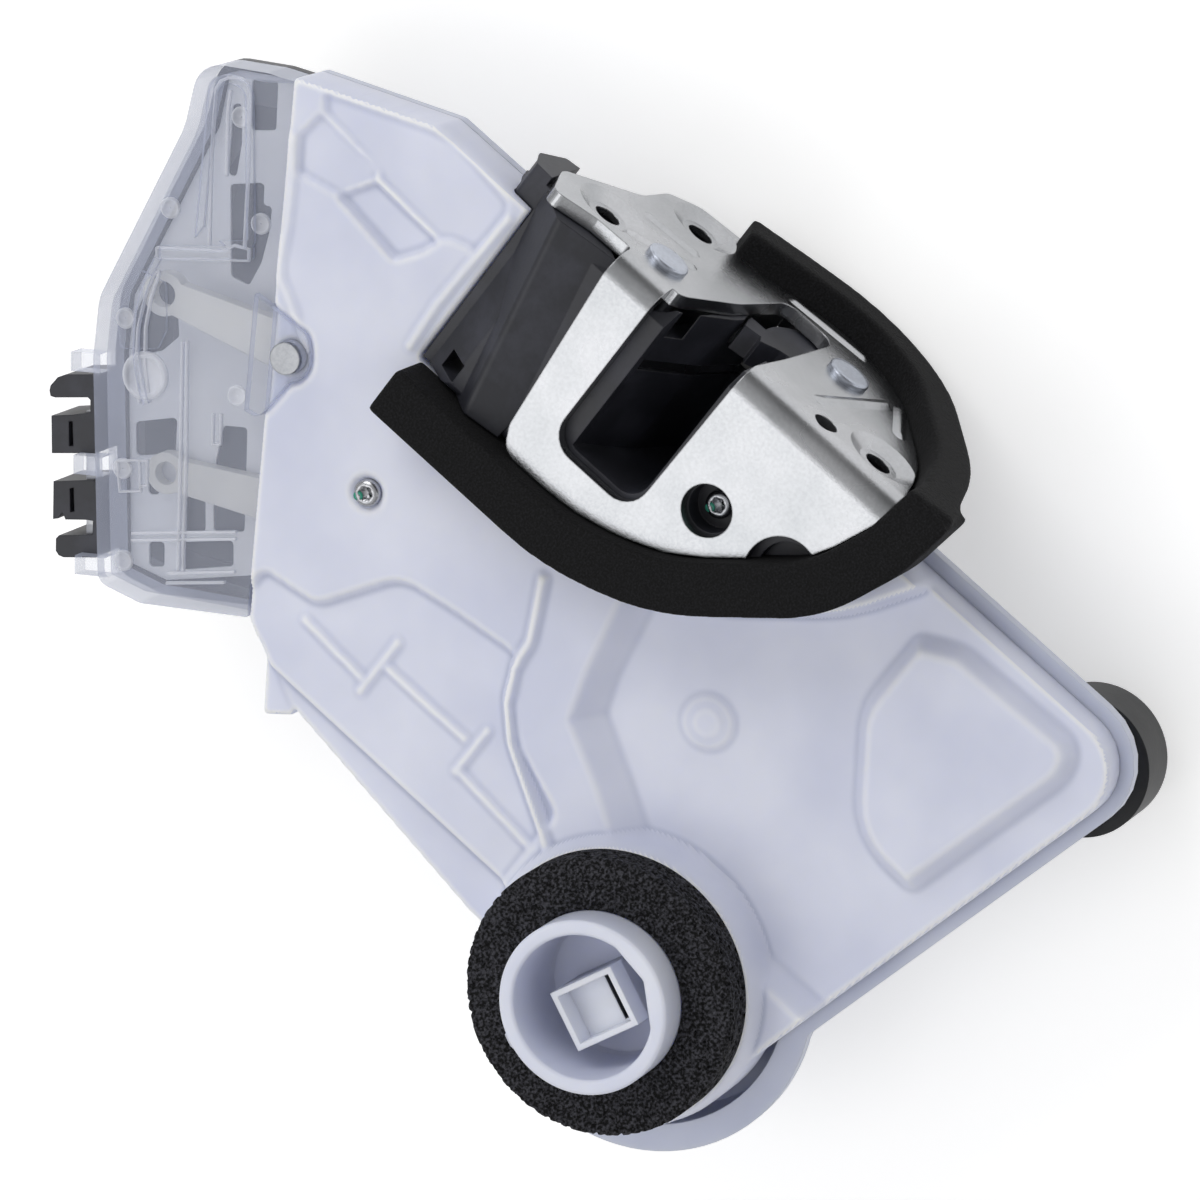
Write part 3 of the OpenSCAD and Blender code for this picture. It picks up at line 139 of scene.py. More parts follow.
# %% [markdown]
# The cover is moulded polypropylene without pigment, which is milky and lets a little light
# into itself. To the eye that is a cool white with soft shadows and a dull gloss. Slow colour
# clouds a few centimetres wide stand for the uneven wall behind it, and a fine grain of about a
# millimetre for the skin of the mould. The cover's recipe also paints light and shade into the colour:
# crests, where thick plastic scatters more light back, get a whiter painted highlight, and valleys a
# bluer painted shade. Pointiness, 0.5 on a flat face, tells the two apart, and the steep side walls are left out.
# %% White and milky polypropylene
MOULD_IOR = 1.49
LIGHT_DEPTH = (0.0030, 0.0032, 0.0040)  # how far red, green and blue go into the plastic

def milky_plastic(name, low, high, depth, glossy, crest_highlight=None, valley_shade=None):
    material, tree, shader, place = new_material(name)
    clouds, grain = noise(tree, place, 38, 3, 0.45), noise(tree, place, 900, 2)
    colour = ramp(tree, clouds, low, high)
    # painted light: convex crests get a whiter painted highlight and concave valleys a bluer painted shade, on
    # upward faces only
    if crest_highlight:
        shape = add(tree, "ShaderNodeNewGeometry")
        upward = add(tree, "ShaderNodeSeparateXYZ", {0: shape.outputs["True Normal"]})
        flat = scaled(tree, upward.outputs["Z"], 0, 1, 0.55, 0.85)
        for other, start, stop in ((crest_highlight, 0.503, 0.545), (valley_shade, 0.497, 0.455)):
            share = scaled(tree, shape.outputs["Pointiness"], 0, flat, start, stop)
            colour = mixed(tree, share, colour, paint(other))
    roughen(tree, shader, grain, 0.06, 0.2)
    set_inputs(tree, shader, {
        "Base Color": colour, "Roughness": scaled(tree, clouds, glossy, glossy + 0.12), "IOR": MOULD_IOR,
        "Subsurface Weight": depth, "Subsurface Radius": LIGHT_DEPTH, "Subsurface Scale": 1.0})
    return material

# the cover's crest and valley colours are a painted highlight and a painted shade
cover_pp = milky_plastic("white polypropylene cover", "#D5D9EC", "#E4E7F6", depth=0.35, glossy=0.32,
                         crest_highlight="#F6F7FC", valley_shade="#C0C6DC")
white_pp = milky_plastic("white polypropylene", "#D9DDF0", "#E9ECFA", depth=0.35, glossy=0.34)
milky_pp = milky_plastic("milky polypropylene", "#C3C8DA", "#D3D7E6", depth=0.35, glossy=0.36)
natural_pom = milky_plastic("natural acetal", "#D8D6CE", "#E6E4DC", depth=0.2, glossy=0.40)

# %% [markdown]
# The lever cover is thin clear polypropylene. It lets the light straight through with a little
# white haze in it, and what lies under it shows as soft dark shapes. Where the light crosses it at
# a slant, along ribs and side walls, there is more plastic in the way and the haze grows. Layer
# Weight tells the slant, and here it raises the share of haze.
# %% Clear polypropylene
def hazy_clear(name, colour, haze, slanted):
    material, tree, shader, place = new_material(name, 0.3)
    slant = add(tree, "ShaderNodeLayerWeight", {"Blend": 0.35})
    share = scaled(tree, slant.outputs["Facing"], haze, slanted)
    total = add(tree, "ShaderNodeMath", {0: noise(tree, place, 60, 2), 1: 0.05, 2: share}, operation="MULTIPLY_ADD")
    set_inputs(tree, shader, {"Base Color": paint(colour), "Roughness": 0.14, "IOR": MOULD_IOR,
                              "Alpha": total.outputs[0]})
    return material

clear_pp = hazy_clear("clear polypropylene", "#DEE4F7", haze=0.11, slanted=0.82)
rib_pp = hazy_clear("clear polypropylene ribs", "#F2F4FC", haze=0.30, slanted=0.95)
strap_pp = hazy_clear("clear strap polypropylene", "#E9ECF6", haze=0.42, slanted=0.9)

# %% [markdown]
# The latch plate is cold-rolled steel, stamped, bent and zinc plated. The coat is bright and
# has a fine uneven sparkle, with long soft bands where the plate was bent. A metal's colour is the
# colour of its reflections, so the base is a plain light grey and the roughness carries the look.
# %% Zinc-plated steel and other metals
def plated(name, low, high, rough, sparkle, grain=0.2):
    material, tree, shader, place = new_material(name)
    fine, slow = noise(tree, place, 1500, 4, 0.7), noise(tree, place, 55, 3)
    specks = ramp(tree, fine, "#9C9C9C", "#FFFFFF", (0.38, 0.62))
    roughen(tree, shader, fine, sparkle, 0.2)
    colour = mixed(tree, grain, ramp(tree, slow, low, high), specks, blend_type="MULTIPLY")
    set_inputs(tree, shader, {"Metallic": 1.0, "Base Color": colour,
                              "Roughness": scaled(tree, slow, rough - 0.08, rough + 0.10)})
    return material

zinc_plate = plated("bright zinc-plated steel", "#AAACAF", "#BDBEC1", rough=0.25, sparkle=0.16, grain=0.12)
zinc_screw = plated("zinc-plated screw steel", "#B0B2B7", "#C6C7CB", rough=0.22, sparkle=0.10)
zinc_rivet = plated("bluish zinc-plated rivet steel", "#A4A9B4", "#BCC1CC", rough=0.30, sparkle=0.15)
ground_steel = plated("ground hardened steel", "#8A8C90", "#A2A4A8", rough=0.30, sparkle=0.10)
spring_wire = plated("drawn spring wire", "#7A7C80", "#909296", rough=0.35, sparkle=0.10)
contact_brass = plated("stamped contact brass", "#B88A45", "#C89A55", rough=0.30, sparkle=0.10)

# %% [markdown]
# The latch body and the levers' base are black nylon filled with glass fibre. It is nearly
# black, with a satin skin and grey scuffs where tools and handling rubbed it.
# %% Black nylon and rubber
def black_nylon(name, low, high, rough):
    material, tree, shader, place = new_material(name)
    scuffs = noise(tree, place, 90, 5, 0.6)
    roughen(tree, shader, noise(tree, place, 1200, 3), 0.12, 0.2)
    set_inputs(tree, shader, {"Base Color": ramp(tree, scuffs, low, high, (0.45, 0.75)),
                              "Roughness": scaled(tree, scuffs, rough, rough + 0.2)})
    return material

nylon = black_nylon("black glass-filled nylon", "#24252C", "#3B3C46", rough=0.36)
rubber = black_nylon("black moulded rubber", "#0D0E10", "#16171A", rough=0.40)

# %% [markdown]
# The seals are cut from sheets of foamed rubber. Their cells, from half a millimetre to nearly one
# wide, make the surface dull, with small pits. The strip is a fine foam, the ring a coarse one, so
# one recipe takes the cell size.
# %% Foamed rubber
def foam(name, cell_mm, pits, low, high, span):
    material, tree, shader, place = new_material(name)
    cells = add(tree, "ShaderNodeTexVoronoi", {"Vector": place, "Scale": 1000.0 / cell_mm, "Randomness": 1.0})
    dust = noise(tree, place, 1300 / cell_mm, 2)
    height = add(tree, "ShaderNodeMath", {0: dust, 1: 0.35, 2: cells.outputs["Distance"]}, operation="MULTIPLY_ADD")
    roughen(tree, shader, height.outputs[0], pits, 0.6)
    set_inputs(tree, shader, {"Roughness": 0.9, "Specular IOR Level": 0.3,
                              "Base Color": ramp(tree, dust, low, high, span)})
    return material

fine_foam = foam("fine foamed rubber", 0.5, 0.30, "#070708", "#1C1C1F", span=(0.42, 0.75))
coarse_foam = foam("coarse foamed rubber", 0.8, 0.9, "#040405", "#46464C", span=(0.42, 0.66))

# %% [markdown]
# Pieces made here take the place of a CAD solid, or sit on one. One helper turns a mesh into an
# object with its finish, and hides the solids that the piece stands for. All of them sit on the
# housing, so that is the body they move with.
# %% Helper: a piece from points and faces
def in_scene(name, data):
    """A new object, linked to the scene."""
    thing = bpy.data.objects.new(name, data)
    bpy.context.scene.collection.objects.link(thing)
    return thing

def to_piece(name, mesh, material, like, *stands_for):
    """like is a solid with the same finish slot; it is not used. stands_for names the solids left out for it."""
    mesh.materials.clear()
    mesh.materials.append(material)
    mesh.shade_smooth()
    piece = in_scene(name, mesh)
    if stands_for:
        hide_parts(*stands_for)
    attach(piece, "lock_housing")
    print(name, len(mesh.polygons), "faces")
    return piece

def mesh_of(points, faces, name="shape"):
    mesh = bpy.data.meshes.new(name)
    mesh.from_pydata([tuple(p) for p in points], [], faces)
    mesh.update()
    return mesh

def ring_walls(rings, around):
    """Faces between rings of points, each ring with the same count."""
    return [[i * around + c, i * around + (c + 1) % around,
             (i + 1) * around + (c + 1) % around, (i + 1) * around + c]
            for i in range(rings - 1) for c in range(around)]

def outcome(thing):
    """The plain mesh that an object's modifiers, or its curve, come to."""
    bpy.context.scene.collection.objects.link(thing)
    return bpy.data.meshes.new_from_object(thing.evaluated_get(bpy.context.evaluated_depsgraph_get()))

# %% [markdown]
# A moulded cover has no sharp edge at all: molten plastic flows round soft corners, and the
# mould needs them to let go. The cover is a relief, with one height at each place, so it can be made
# as cloth laid over the solid. Rays shot at the solid in a fine grid give the heights, a blur rounds
# every inner and outer corner at once, and the rim is turned down. Bevels would fail here, where
# ribs, steps and holes crowd.
# %% Helper: heights by rays
import numpy as np
from mathutils.bvhtree import BVHTree
from mathutils.kdtree import KDTree

def blurred(heights, inside, cells):
    """Heights averaged over their neighbours that are on the solid."""
    reach = int(math.ceil(3 * cells))
    weights = np.exp(-0.5 * (np.arange(-reach, reach + 1) / cells) ** 2)
    top, under = np.where(inside, heights, 0.0), inside.astype(float)
    for axis in (0, 1):
        top = sum(w * np.roll(top, k - reach, axis) for k, w in enumerate(weights))
        under = sum(w * np.roll(under, k - reach, axis) for k, w in enumerate(weights))
    return np.where(inside, top / np.maximum(under, 1e-9), heights)

# %% Helper: a skin over a solid
RAY_START, INWARD = 0.06, 0.08 * MM  # where rays start, and how far inside the rim the wall is felt
AROUND = ((0, 0), (0.33, 0.15), (-0.15, 0.33), (-0.33, -0.15), (0.15, -0.33))  # parts of one step

def skin_mesh(node, relief, step, soft, rim, deepest):
    """A skin laid over a solid from above, in a grid of the given step. relief(x, y, height) may
    change a height. The skin ends in a skirt, which goes down as far as the solid's wall."""
    data = nodes[node].data
    surface = BVHTree.FromPolygons([v.co for v in data.vertices], [tuple(f.vertices) for f in data.polygons])
    low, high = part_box(node)
    nx, ny = int((high.x - low.x) / step) + 8, int((high.y - low.y) / step) + 8
    x0, y0 = low.x - 3.37 * step, low.y - 3.53 * step  # no grid line falls on a straight edge

    def top_at(x, y):
        hit = surface.ray_cast(Vector((x, y, RAY_START)), Vector((0, 0, -1)))
        return None if hit[0] is None or RAY_START - hit[3] < -deepest else RAY_START - hit[3]

    def foot_at(x, y):
        hit = surface.ray_cast(Vector((x, y, -RAY_START)), Vector((0, 0, 1)))
        return None if hit[0] is None else hit[3] - RAY_START

    # each height is a mean of five places, so that slanting steps come out even
    heights, inside = np.zeros((nx, ny)), np.zeros((nx, ny), bool)
    for i in range(nx):
        for j in range(ny):
            if top_at(x0 + i * step, y0 + j * step) is not None:
                spots = [(x0 + (i + di) * step, y0 + (j + dj) * step) for di, dj in AROUND]
                found = [relief(x, y, z) for x, y in spots if (z := top_at(x, y)) is not None]
                heights[i, j], inside[i, j] = sum(found) / len(found), True
    level = blurred(heights, inside, soft / step)

    places, index, ends = [], {}, {}
    for i, j in zip(*np.nonzero(inside)):
        index[(i, j)] = len(places)
        places.append([x0 + i * step, y0 + j * step, level[i, j]])
    grid_points = len(places)

    def crossing(on, off):
        """The place on the grid line from one knot on the solid to one off it, where it ends."""
        if (on, off) not in ends:
            start = np.array([x0 + on[0] * step, y0 + on[1] * step])
            stop = np.array([x0 + off[0] * step, y0 + off[1] * step])
            near, far = 0.0, 1.0
            for k in range(7):  # halves the step seven times
                half = (near + far) / 2
                near, far = (half, far) if top_at(*(start + (stop - start) * half)) is not None else (near, half)
            ends[(on, off)] = len(places)
            places.append([*(start + (stop - start) * near), level[on]])
        return ends[(on, off)]

    faces, rim_edges = [], []
    for i in range(nx - 1):
        for j in range(ny - 1):
            corners = [(i, j), (i + 1, j), (i + 1, j + 1), (i, j + 1)]
            ring = []
            for here, there in zip(corners, corners[1:] + corners[:1]):
                if inside[here]:
                    ring.append(index[here])
                if inside[here] != inside[there]:
                    ring.append(crossing(here, there) if inside[here] else crossing(there, here))
            if len(ring) > 2:
                faces.append(ring)
                rim_edges += [edge for edge in zip(ring, ring[1:] + ring[:1]) if min(edge) >= grid_points]

    # the rim is turned down on a quarter round
    tree = KDTree(len(places) - grid_points)
    for k in range(grid_points, len(places)):
        tree.insert((places[k][0], places[k][1], 0.0), k)
    tree.balance()
    for k, place in enumerate(places):
        away = 0.0 if k >= grid_points else tree.find((place[0], place[1], 0.0))[2]
        if away < rim:
            place[2] -= rim - math.sqrt(rim * rim - (rim - away) ** 2)

    # the skirt goes down to where the solid's wall ends
    foot = {}
    for (on, off), k in ends.items():
        x, y, z = places[k]
        inner = Vector((x0 + on[0] * step - x, y0 + on[1] * step - y))
        inner = inner.normalized() * INWARD if inner.length > 1e-9 else Vector((0, 0))
        wall_end = foot_at(x + inner.x, y + inner.y)
        foot[k] = len(places)
        places.append([x, y, z - 1.0 * MM if wall_end is None else min(wall_end, z - 0.2 * MM)])
    faces += [[there, here, foot[here], foot[there]] for here, there in rim_edges]
    return mesh_of(places, faces, node + "_skin")

# %% [markdown]
# Every solid gets the finish of its real material. The record names each solid's material slot,
# and three pieces differ from their slot: the strap, which is clearer, and the two bluish rivets.
# %% Finish of every solid
finish_of = {
    "zinc_steel": zinc_plate, "hard_steel": ground_steel, "spring_steel": spring_wire,
    "black_plastic": nylon, "white_plastic": white_pp, "milky_plastic": milky_pp,
    "clear_plastic": clear_pp, "natural_plastic": natural_pom, "black_rubber": rubber,
    "black_foam": fine_foam, "contact_brass": contact_brass}
special = {"cable_strap": strap_pp, "fork_pin": zinc_rivet, "pawl_pin": zinc_rivet}
for node in nodes:
    nodes[node].data.materials.clear()
    nodes[node].data.materials.append(special.get(node) or finish_of[slot_of[node]])

# %% [markdown]
# The inboard cover is laid under rays from straight above. The connector's tube stands up too
# steeply for that, so the skin is kept down under it, and the tube gets its own piece. Shallow
# fields and low ribs of the upper end are painted into the heights before the blur.
# %% The inboard cover
ring_low, ring_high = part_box("connector_seal")
ring_middle = (ring_low + ring_high) / 2
tube_r, tube_bore = 16.3 * MM, 13.5 * MM
tube_foot, tube_floor, tube_top = ring_low.z - 0.2 * MM, 7.6 * MM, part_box("cover")[1].z

def inside_of(spot, outline):
    """Whether a place lies in an outline: it crosses the border an odd number of times to one side."""
    odd = False
    for (x0, y0), (x1, y1) in zip(outline, outline[1:] + outline[:1]):
        if (y0 > spot[1]) != (y1 > spot[1]) and spot[0] < x0 + (spot[1] - y0) / (y1 - y0) * (x1 - x0):
            odd = not odd
    return odd

def away_from(spot, path):
    """Distance from a place to a path."""
    best = 1e9
    for start, stop in zip(path, path[1:]):
        start, stop = Vector(start), Vector(stop)
        share = max(0.0, min(1.0, (spot - start).dot(stop - start) / (stop - start).length_squared))
        best = min(best, (spot - start.lerp(stop, share)).length)
    return best

# levels of the upper fields in millimetres, painted one over the other, then low ribs
upper_field = [(-15, 60), (-8, 36), (-8, 12), (-45, 10), (-45, 30), (-30, 55)]
fields = [([(-17.9, 53.9), (-9.6, 34.4), (-8.5, 29.7), (-8.9, 23.4), (-10.2, 14.5), (-12.4, 13.5),
            (-21.2, 13.9), (-21.5, 15.9), (-22.5, 18.8), (-24.2, 20.8), (-23.1, 36.2), (-21.9, 37.8),
            (-20.7, 51.7)], 6.2),
          ([(-27.1, 53.0), (-21.4, 52.2), (-22.1, 37.8), (-23.7, 36.8), (-30.7, 40.5), (-32.8, 49.3)], 6.2),
          ([(-31.0, 40.5), (-24.3, 36.6), (-24.8, 20.7), (-28.4, 22.1), (-32.9, 25.1)], 5.4)]
low_ribs = [([(-12.1, 12.6), (-21.3, 13.0), (-33.4, 13.6), (-43.4, 12.9)], 0.8, 0.7),
            ([(-28.5, 53.9), (-33.9, 49.8), (-42.2, 44.8), (-48.3, 42.0), (-50.7, 40.1), (-53.6, 34.6),
             (-58.2, 28.6)], 0.9, 0.5),
            ([(-36.4, -76.6), (-39.8, -83.4), (-46.4, -90.9), (-54.6, -95.9)], 0.9, 0.4)]

plateau_from, plateau, plateau_to = 5.8 * MM, 7.0 * MM, 7.2 * MM
ribs_from = 5 * MM  # a low rib stands on the top faces alone
under_ring_r, under_ring_top = 18.8 * MM, tube_foot - 0.3 * MM

def moulded(x, y, z):
    """The cover's height with its fields and low ribs, kept down under the ring and the tube."""
    spot = Vector((x, y)) / MM
    if plateau_from < z < plateau_to and inside_of(spot, upper_field):
        z = plateau
        for outline, level in fields:
            z = level * MM if inside_of(spot, outline) else z
    for path, half_width, rise in low_ribs:
        if z > ribs_from and away_from(spot, path) < half_width:
            z += rise * MM
    away = math.hypot(x - ring_middle.x, y - ring_middle.y)
    return under_ring_top if away < under_ring_r and z > under_ring_top else z

cover_skin = skin_mesh("cover", moulded, step=0.47 * MM, soft=0.50 * MM, rim=0.9 * MM, deepest=30 * MM)
to_piece("inboard_cover", cover_skin, cover_pp, "cover", "cover")

# %% [markdown]
# Long ridges pressed into the shut face stiffen it. Each is a low mound with round ends: rings of
# points run round a line, and the height rises softly from the outer ring to the line. Curves like
# this, flat where they meet the plate, give the long gentle shine of pressed steel.
# %% Ridges pressed into the latch plate
ridges_mm = [((-4.3, -10.1), (-14.2, -11.4)), ((-6.7, 2.1), (-16.5, -5.3)), ((-31.7, -27.7), (-47.5, -29.7)),
             ((-51.7, 1.7), (-58.1, -18.8)), ((-60.5, -21.5), (-64.5, -12.0))]

ridge_half_width, ridge_height, ridge_foot = 1.7, 0.5, 0.12

def mound(start, stop, half_width, height, foot, place, rings=7, steps=16):
    """A low mound round the line from start to stop, whose rim goes into the plate by foot.
    place(x, y, h) gives the point."""
    start, stop = Vector(start), Vector(stop)
    along = (stop - start).normalized()
    side = Vector((-along.y, along.x))
    points = []
    for ring in range(rings + 1):
        out = 1 - ring / rings
        level = height * (0.5 + 0.5 * math.cos(math.pi * out)) - (foot if ring == 0 else 0)
        for k in range(2 * steps):
            end = stop if k < steps else start
            angle = math.pi * (k / (steps - 1) - 0.5 if k < steps else (k - steps) / (steps - 1) + 0.5)
            spot = end + (along * math.cos(angle) + side * math.sin(angle)) * half_width * out
            points.append(place(spot.x, spot.y, level) * MM)
    return points, ring_walls(rings + 1, 2 * steps)

def joined(parts):
    """One mesh from several lists of points and faces."""
    points, faces = [], []
    for more_points, more_faces in parts:
        faces += [[i + len(points) for i in face] for face in more_faces]
        points += more_points
    return mesh_of(points, faces)

def on_shut_face(y, z, x):
    return Vector((x, y, z))

ridges = joined([mound(*ends, ridge_half_width, ridge_height, ridge_foot, on_shut_face) for ends in ridges_mm])
to_piece("pressed_ridges", ridges, zinc_plate, "latch_plate")

# %% [markdown]
# The foam strip is die-cut from a sheet, then laid along the leg and over the shut face. Its two
# runs are made as bars that follow a line with rounded corners. A voxel remesh then grows them into
# one body, and takes the sharpness off every cut edge, as a knife leaves soft foam.
# %% Helper: a line with rounded corners
def rounded_line(corners, step_deg=4):
    """Corners are (x, y, radius) in millimetres, and the ends stay where they are."""
    points = [Vector(corners[0][:2])]
    for before, corner, after in zip(corners, corners[1:], corners[2:]):
        here = Vector(corner[:2])
        to_start, to_end = (Vector(before[:2]) - here).normalized(), (Vector(after[:2]) - here).normalized()
        half = to_start.angle(to_end) / 2
        if corner[2] <= 0:
            points.append(here)
            continue
        centre = here + (to_start + to_end).normalized() * corner[2] / math.sin(half)
        first, last = [here + way * corner[2] / math.tan(half) - centre for way in (to_start, to_end)]
        sweep = first.angle_signed(last)
        count = max(2, int(abs(math.degrees(sweep)) / step_deg))
        for k in range(count + 1):
            turn = -sweep * k / count
            points.append(centre + Vector((first.x * math.cos(turn) - first.y * math.sin(turn),
                                           first.x * math.sin(turn) + first.y * math.cos(turn))))
    return points + [Vector(corners[-1][:2])]

def bar_along(line, inner, outer, low, high, place):
    """A bar between two distances from the line and two heights. place(x, y, h) gives the point."""
    points = []
    for k, spot in enumerate(line):
        ahead = (line[min(k + 1, len(line) - 1)] - line[max(k - 1, 0)]).normalized()
        side = Vector((-ahead.y, ahead.x))
        for away, h in ((inner, low), (outer, low), (outer, high), (inner, high)):
            at = spot + side * away
            points.append(place(at.x, at.y, h) * MM)
    end = 4 * (len(line) - 1)
    return points, ring_walls(len(line), 4) + [[3, 2, 1, 0], [end, end + 1, end + 2, end + 3]]

def grown(mesh, voxel_mm, rounds):
    """One closed body of even faces, with its edges taken off."""
    work = bmesh.new()
    work.from_mesh(mesh)
    bmesh.ops.recalc_face_normals(work, faces=work.faces)
    work.to_mesh(mesh)
    work.free()
    holder = bpy.data.objects.new("bars", mesh)
    remesh = holder.modifiers.new("grow", "REMESH")
    remesh.mode, remesh.voxel_size = "VOXEL", voxel_mm * MM
    calm = holder.modifiers.new("calm", "SMOOTH")
    calm.factor, calm.iterations = 0.5, rounds
    done = outcome(holder)
    bpy.data.objects.remove(holder)
    return done

# %% The foam strip round the latch
leg_corners = [(-43.5, 9.5, 0), (-43.5, -31.5, 48), (-37.6, -49.5, 40), (-19, -70.5, 22),
               (-6, -75.4, 10), (5.3, -77.0, 0)]
face_corners = [(-17.8, -25.4, 0), (-30, -30, 30), (-44, -34.4, 22), (-58, -28.5, 22),
                (-73, -6, 38), (-78.6, 18.6, 0)]
leg_foam_w, leg_foam_low, leg_foam_high = 9.8, 7.3, 18.9
face_foam_w, face_foam_back, face_foam_front = 7.8, -2.6, 5.4  # the back stays clear of the fork
leg_bar = bar_along(rounded_line(leg_corners), 0, -leg_foam_w, leg_foam_low, leg_foam_high, lambda *at: Vector(at))
face_bar = bar_along(rounded_line(face_corners), 0, face_foam_w, face_foam_back, face_foam_front, on_shut_face)
strip = grown(joined([leg_bar, face_bar]), voxel_mm=0.55, rounds=9)
to_piece("foam_strip", strip, fine_foam, "latch_seal", "latch_seal")

# %% [markdown]
# The ring on the connector is an open, coarse foam, and its cut face shows torn cells up to a
# millimetre wide. They are real hollows here: points of a fine grid sink where 22 waves with a
# fixed seed add up, and the outline gets ragged in the same way.
# %% Helper: a turned piece
def turned_mesh(profile, columns, shape=None):
    """Turns a profile of (radius, height) round the connector's axis. Pairs go up outside, down
    inside, so faces point out. shape(radius, angle, height) may move a point in or out."""
    points = []
    for r, h in profile:
        for c in range(columns):
            angle = 2 * math.pi * c / columns
            rr = shape(r, angle, h) if shape else r
            points.append(Vector((ring_middle.x + rr * math.cos(angle), ring_middle.y + rr * math.sin(angle), h)))
    return points, ring_walls(len(profile), columns)

# %% The coarse foam ring
ring_r, ring_hole = (ring_high.x - ring_low.x) / 2, tube_r + 0.05 * MM
waves = random.Random(7)
wave_set = []
for k in range(22):
    way = Vector((waves.gauss(0, 1), waves.gauss(0, 1), waves.gauss(0, 1))).normalized()
    wave_set.append((way * 2 * math.pi / (waves.uniform(1.0, 1.9) * MM), waves.uniform(0, 6.3)))

def cells_at(place):
    """The waves added up, about -1 to 1. High values are where a cell is torn open."""
    return sum(math.sin(way.dot(place) + start) for way, start in wave_set) / math.sqrt(len(wave_set))

def line_of(start, stop, spacing):
    """Even steps from start towards stop, which is left out."""
    count = max(1, round(math.dist(start, stop) / spacing))
    return [tuple(a + (b - a) * k / count for a, b in zip(start, stop)) for k in range(count)]

r_in, r_out, z_low, z_high, edge = ring_hole, ring_r, ring_low.z, ring_high.z, 0.5 * MM
corners = [(r_in, z_low), (r_out, z_low), (r_out, z_high - edge), (r_out - edge, z_high),
           (r_in + 0.4 * edge, z_high), (r_in, z_high - edge)]
spacings = [1.2 * MM, 0.42 * MM, 0.42 * MM, 0.42 * MM, 1.2 * MM]
profile = sum((line_of(*ends) for ends in zip(corners, corners[1:], spacings)), []) + [corners[-1]]
ring_points, ring_faces = turned_mesh(profile, columns=300)
torn_from, torn_mm = 0.1, 0.42
for place in ring_points:
    away = Vector((place.x - ring_middle.x, place.y - ring_middle.y, 0))
    if place.z > z_low + 0.3 * MM and away.length > r_in + 0.2 * MM:
        sink = max(0.0, cells_at(place) - torn_from) * torn_mm * MM
        place.z -= sink
        place -= away.normalized() * sink * 0.9
to_piece("foam_ring", mesh_of(ring_points, ring_faces), coarse_foam, "connector_seal", "connector_seal")

# %% [markdown]
# The connector's tube is turned in one go: up the outside, over a rounded rim, down the bore and
# along the floor. Two flats inside keep the plug from going in the wrong way round, and a small
# rib on the outside finds the notch of the foam ring.
# %% The connector's tube
flats = [(math.radians(-8), 12.9 * MM), (math.radians(-43), 12.7 * MM)]
rib_at, rib_width, rib_height = math.radians(157), 2.2 * MM, 1.2 * MM

def keyed(r, angle, h):
    """Moves the bore's wall in at the flats, and the outer wall out at the rib."""
    if r <= tube_bore + 0.8 * MM:
        for way, reach in flats:
            slant = math.cos(angle - way)
            if slant > 0.7:
                r = min(r, (reach + max(0.0, r - tube_bore)) / slant)
    elif h < tube_top - 1.0 * MM and r > tube_r - 0.3 * MM:
        off = abs((angle - rib_at + math.pi) % (2 * math.pi) - math.pi) * tube_r / rib_width
        r += rib_height * max(0.0, min(1.0, 2.2 - 2 * off))
    return r

rim, fillet = 0.7 * MM, 1.0 * MM
quarter = [(math.cos(math.radians(a)), math.sin(math.radians(a))) for a in range(0, 91, 15)]
outside = line_of((tube_r, tube_foot - 2 * MM), (tube_r, tube_top - rim), 1.5 * MM)
over = [(tube_r - rim + rim * c, tube_top - rim + rim * s) for c, s in quarter]
over += [(tube_bore + rim * (1 - s), tube_top - rim + rim * c) for c, s in quarter]
bore = line_of((tube_bore, tube_top - rim - 0.3 * MM), (tube_bore, tube_floor + fillet), 1.5 * MM)
floor_line = [(tube_bore - fillet + fillet * c, tube_floor + fillet - fillet * s) for c, s in quarter[1:]]
floor_line += [(r * MM, tube_floor) for r in (10.5, 8.0, 5.0, 2.0, 0.05)]
tube = mesh_of(*turned_mesh(outside + over + bore + floor_line, columns=144, shape=keyed))
to_piece("connector_tube", tube, white_pp, "cover")

# %% [markdown]
# Screws, rivet heads and the small round marks of the mould's ejector pins repeat, so one
# Geometry Nodes tree sets them all. Its inputs are the places, as loose points with a direction
# each, and the shape to set there. The shapes are turned or lobed heads of a few dozen faces.
# %% Helper: a shape set on points
def baked(tree, ids, base, values, name):
    """Runs a tree on a mesh and gives the plain mesh that comes out."""
    holder = bpy.data.objects.new(name, base)
    modifier = holder.modifiers.new(name, "NODES")
    modifier.node_group = tree
    for key, value in values.items():
        modifier[ids[key]] = value
    done = outcome(holder)
    holder.modifiers.remove(modifier)
    bpy.data.objects.remove(holder)
    return done

def new_tree(name, result, *inputs):
    tree, ids = bpy.data.node_groups.new(name, "GeometryNodeTree"), {}
    for label, kind, *value in inputs:
        socket = tree.interface.new_socket(name=label, in_out="INPUT", socket_type=kind)
        ids[label] = socket.identifier
        if value:
            socket.default_value = value[0]
    tree.interface.new_socket(name=result, in_out="OUTPUT", socket_type="NodeSocketGeometry")
    def finish(shapes, material):
        real = add(tree, "GeometryNodeRealizeInstances", {"Geometry": shapes})
        done = add(tree, "GeometryNodeSetMaterial", {"Geometry": real.outputs["Geometry"], "Material": material})
        add(tree, "NodeGroupOutput", {result: done.outputs["Geometry"]})
        return tree, ids
    return tree, add(tree, "NodeGroupInput").outputs, finish

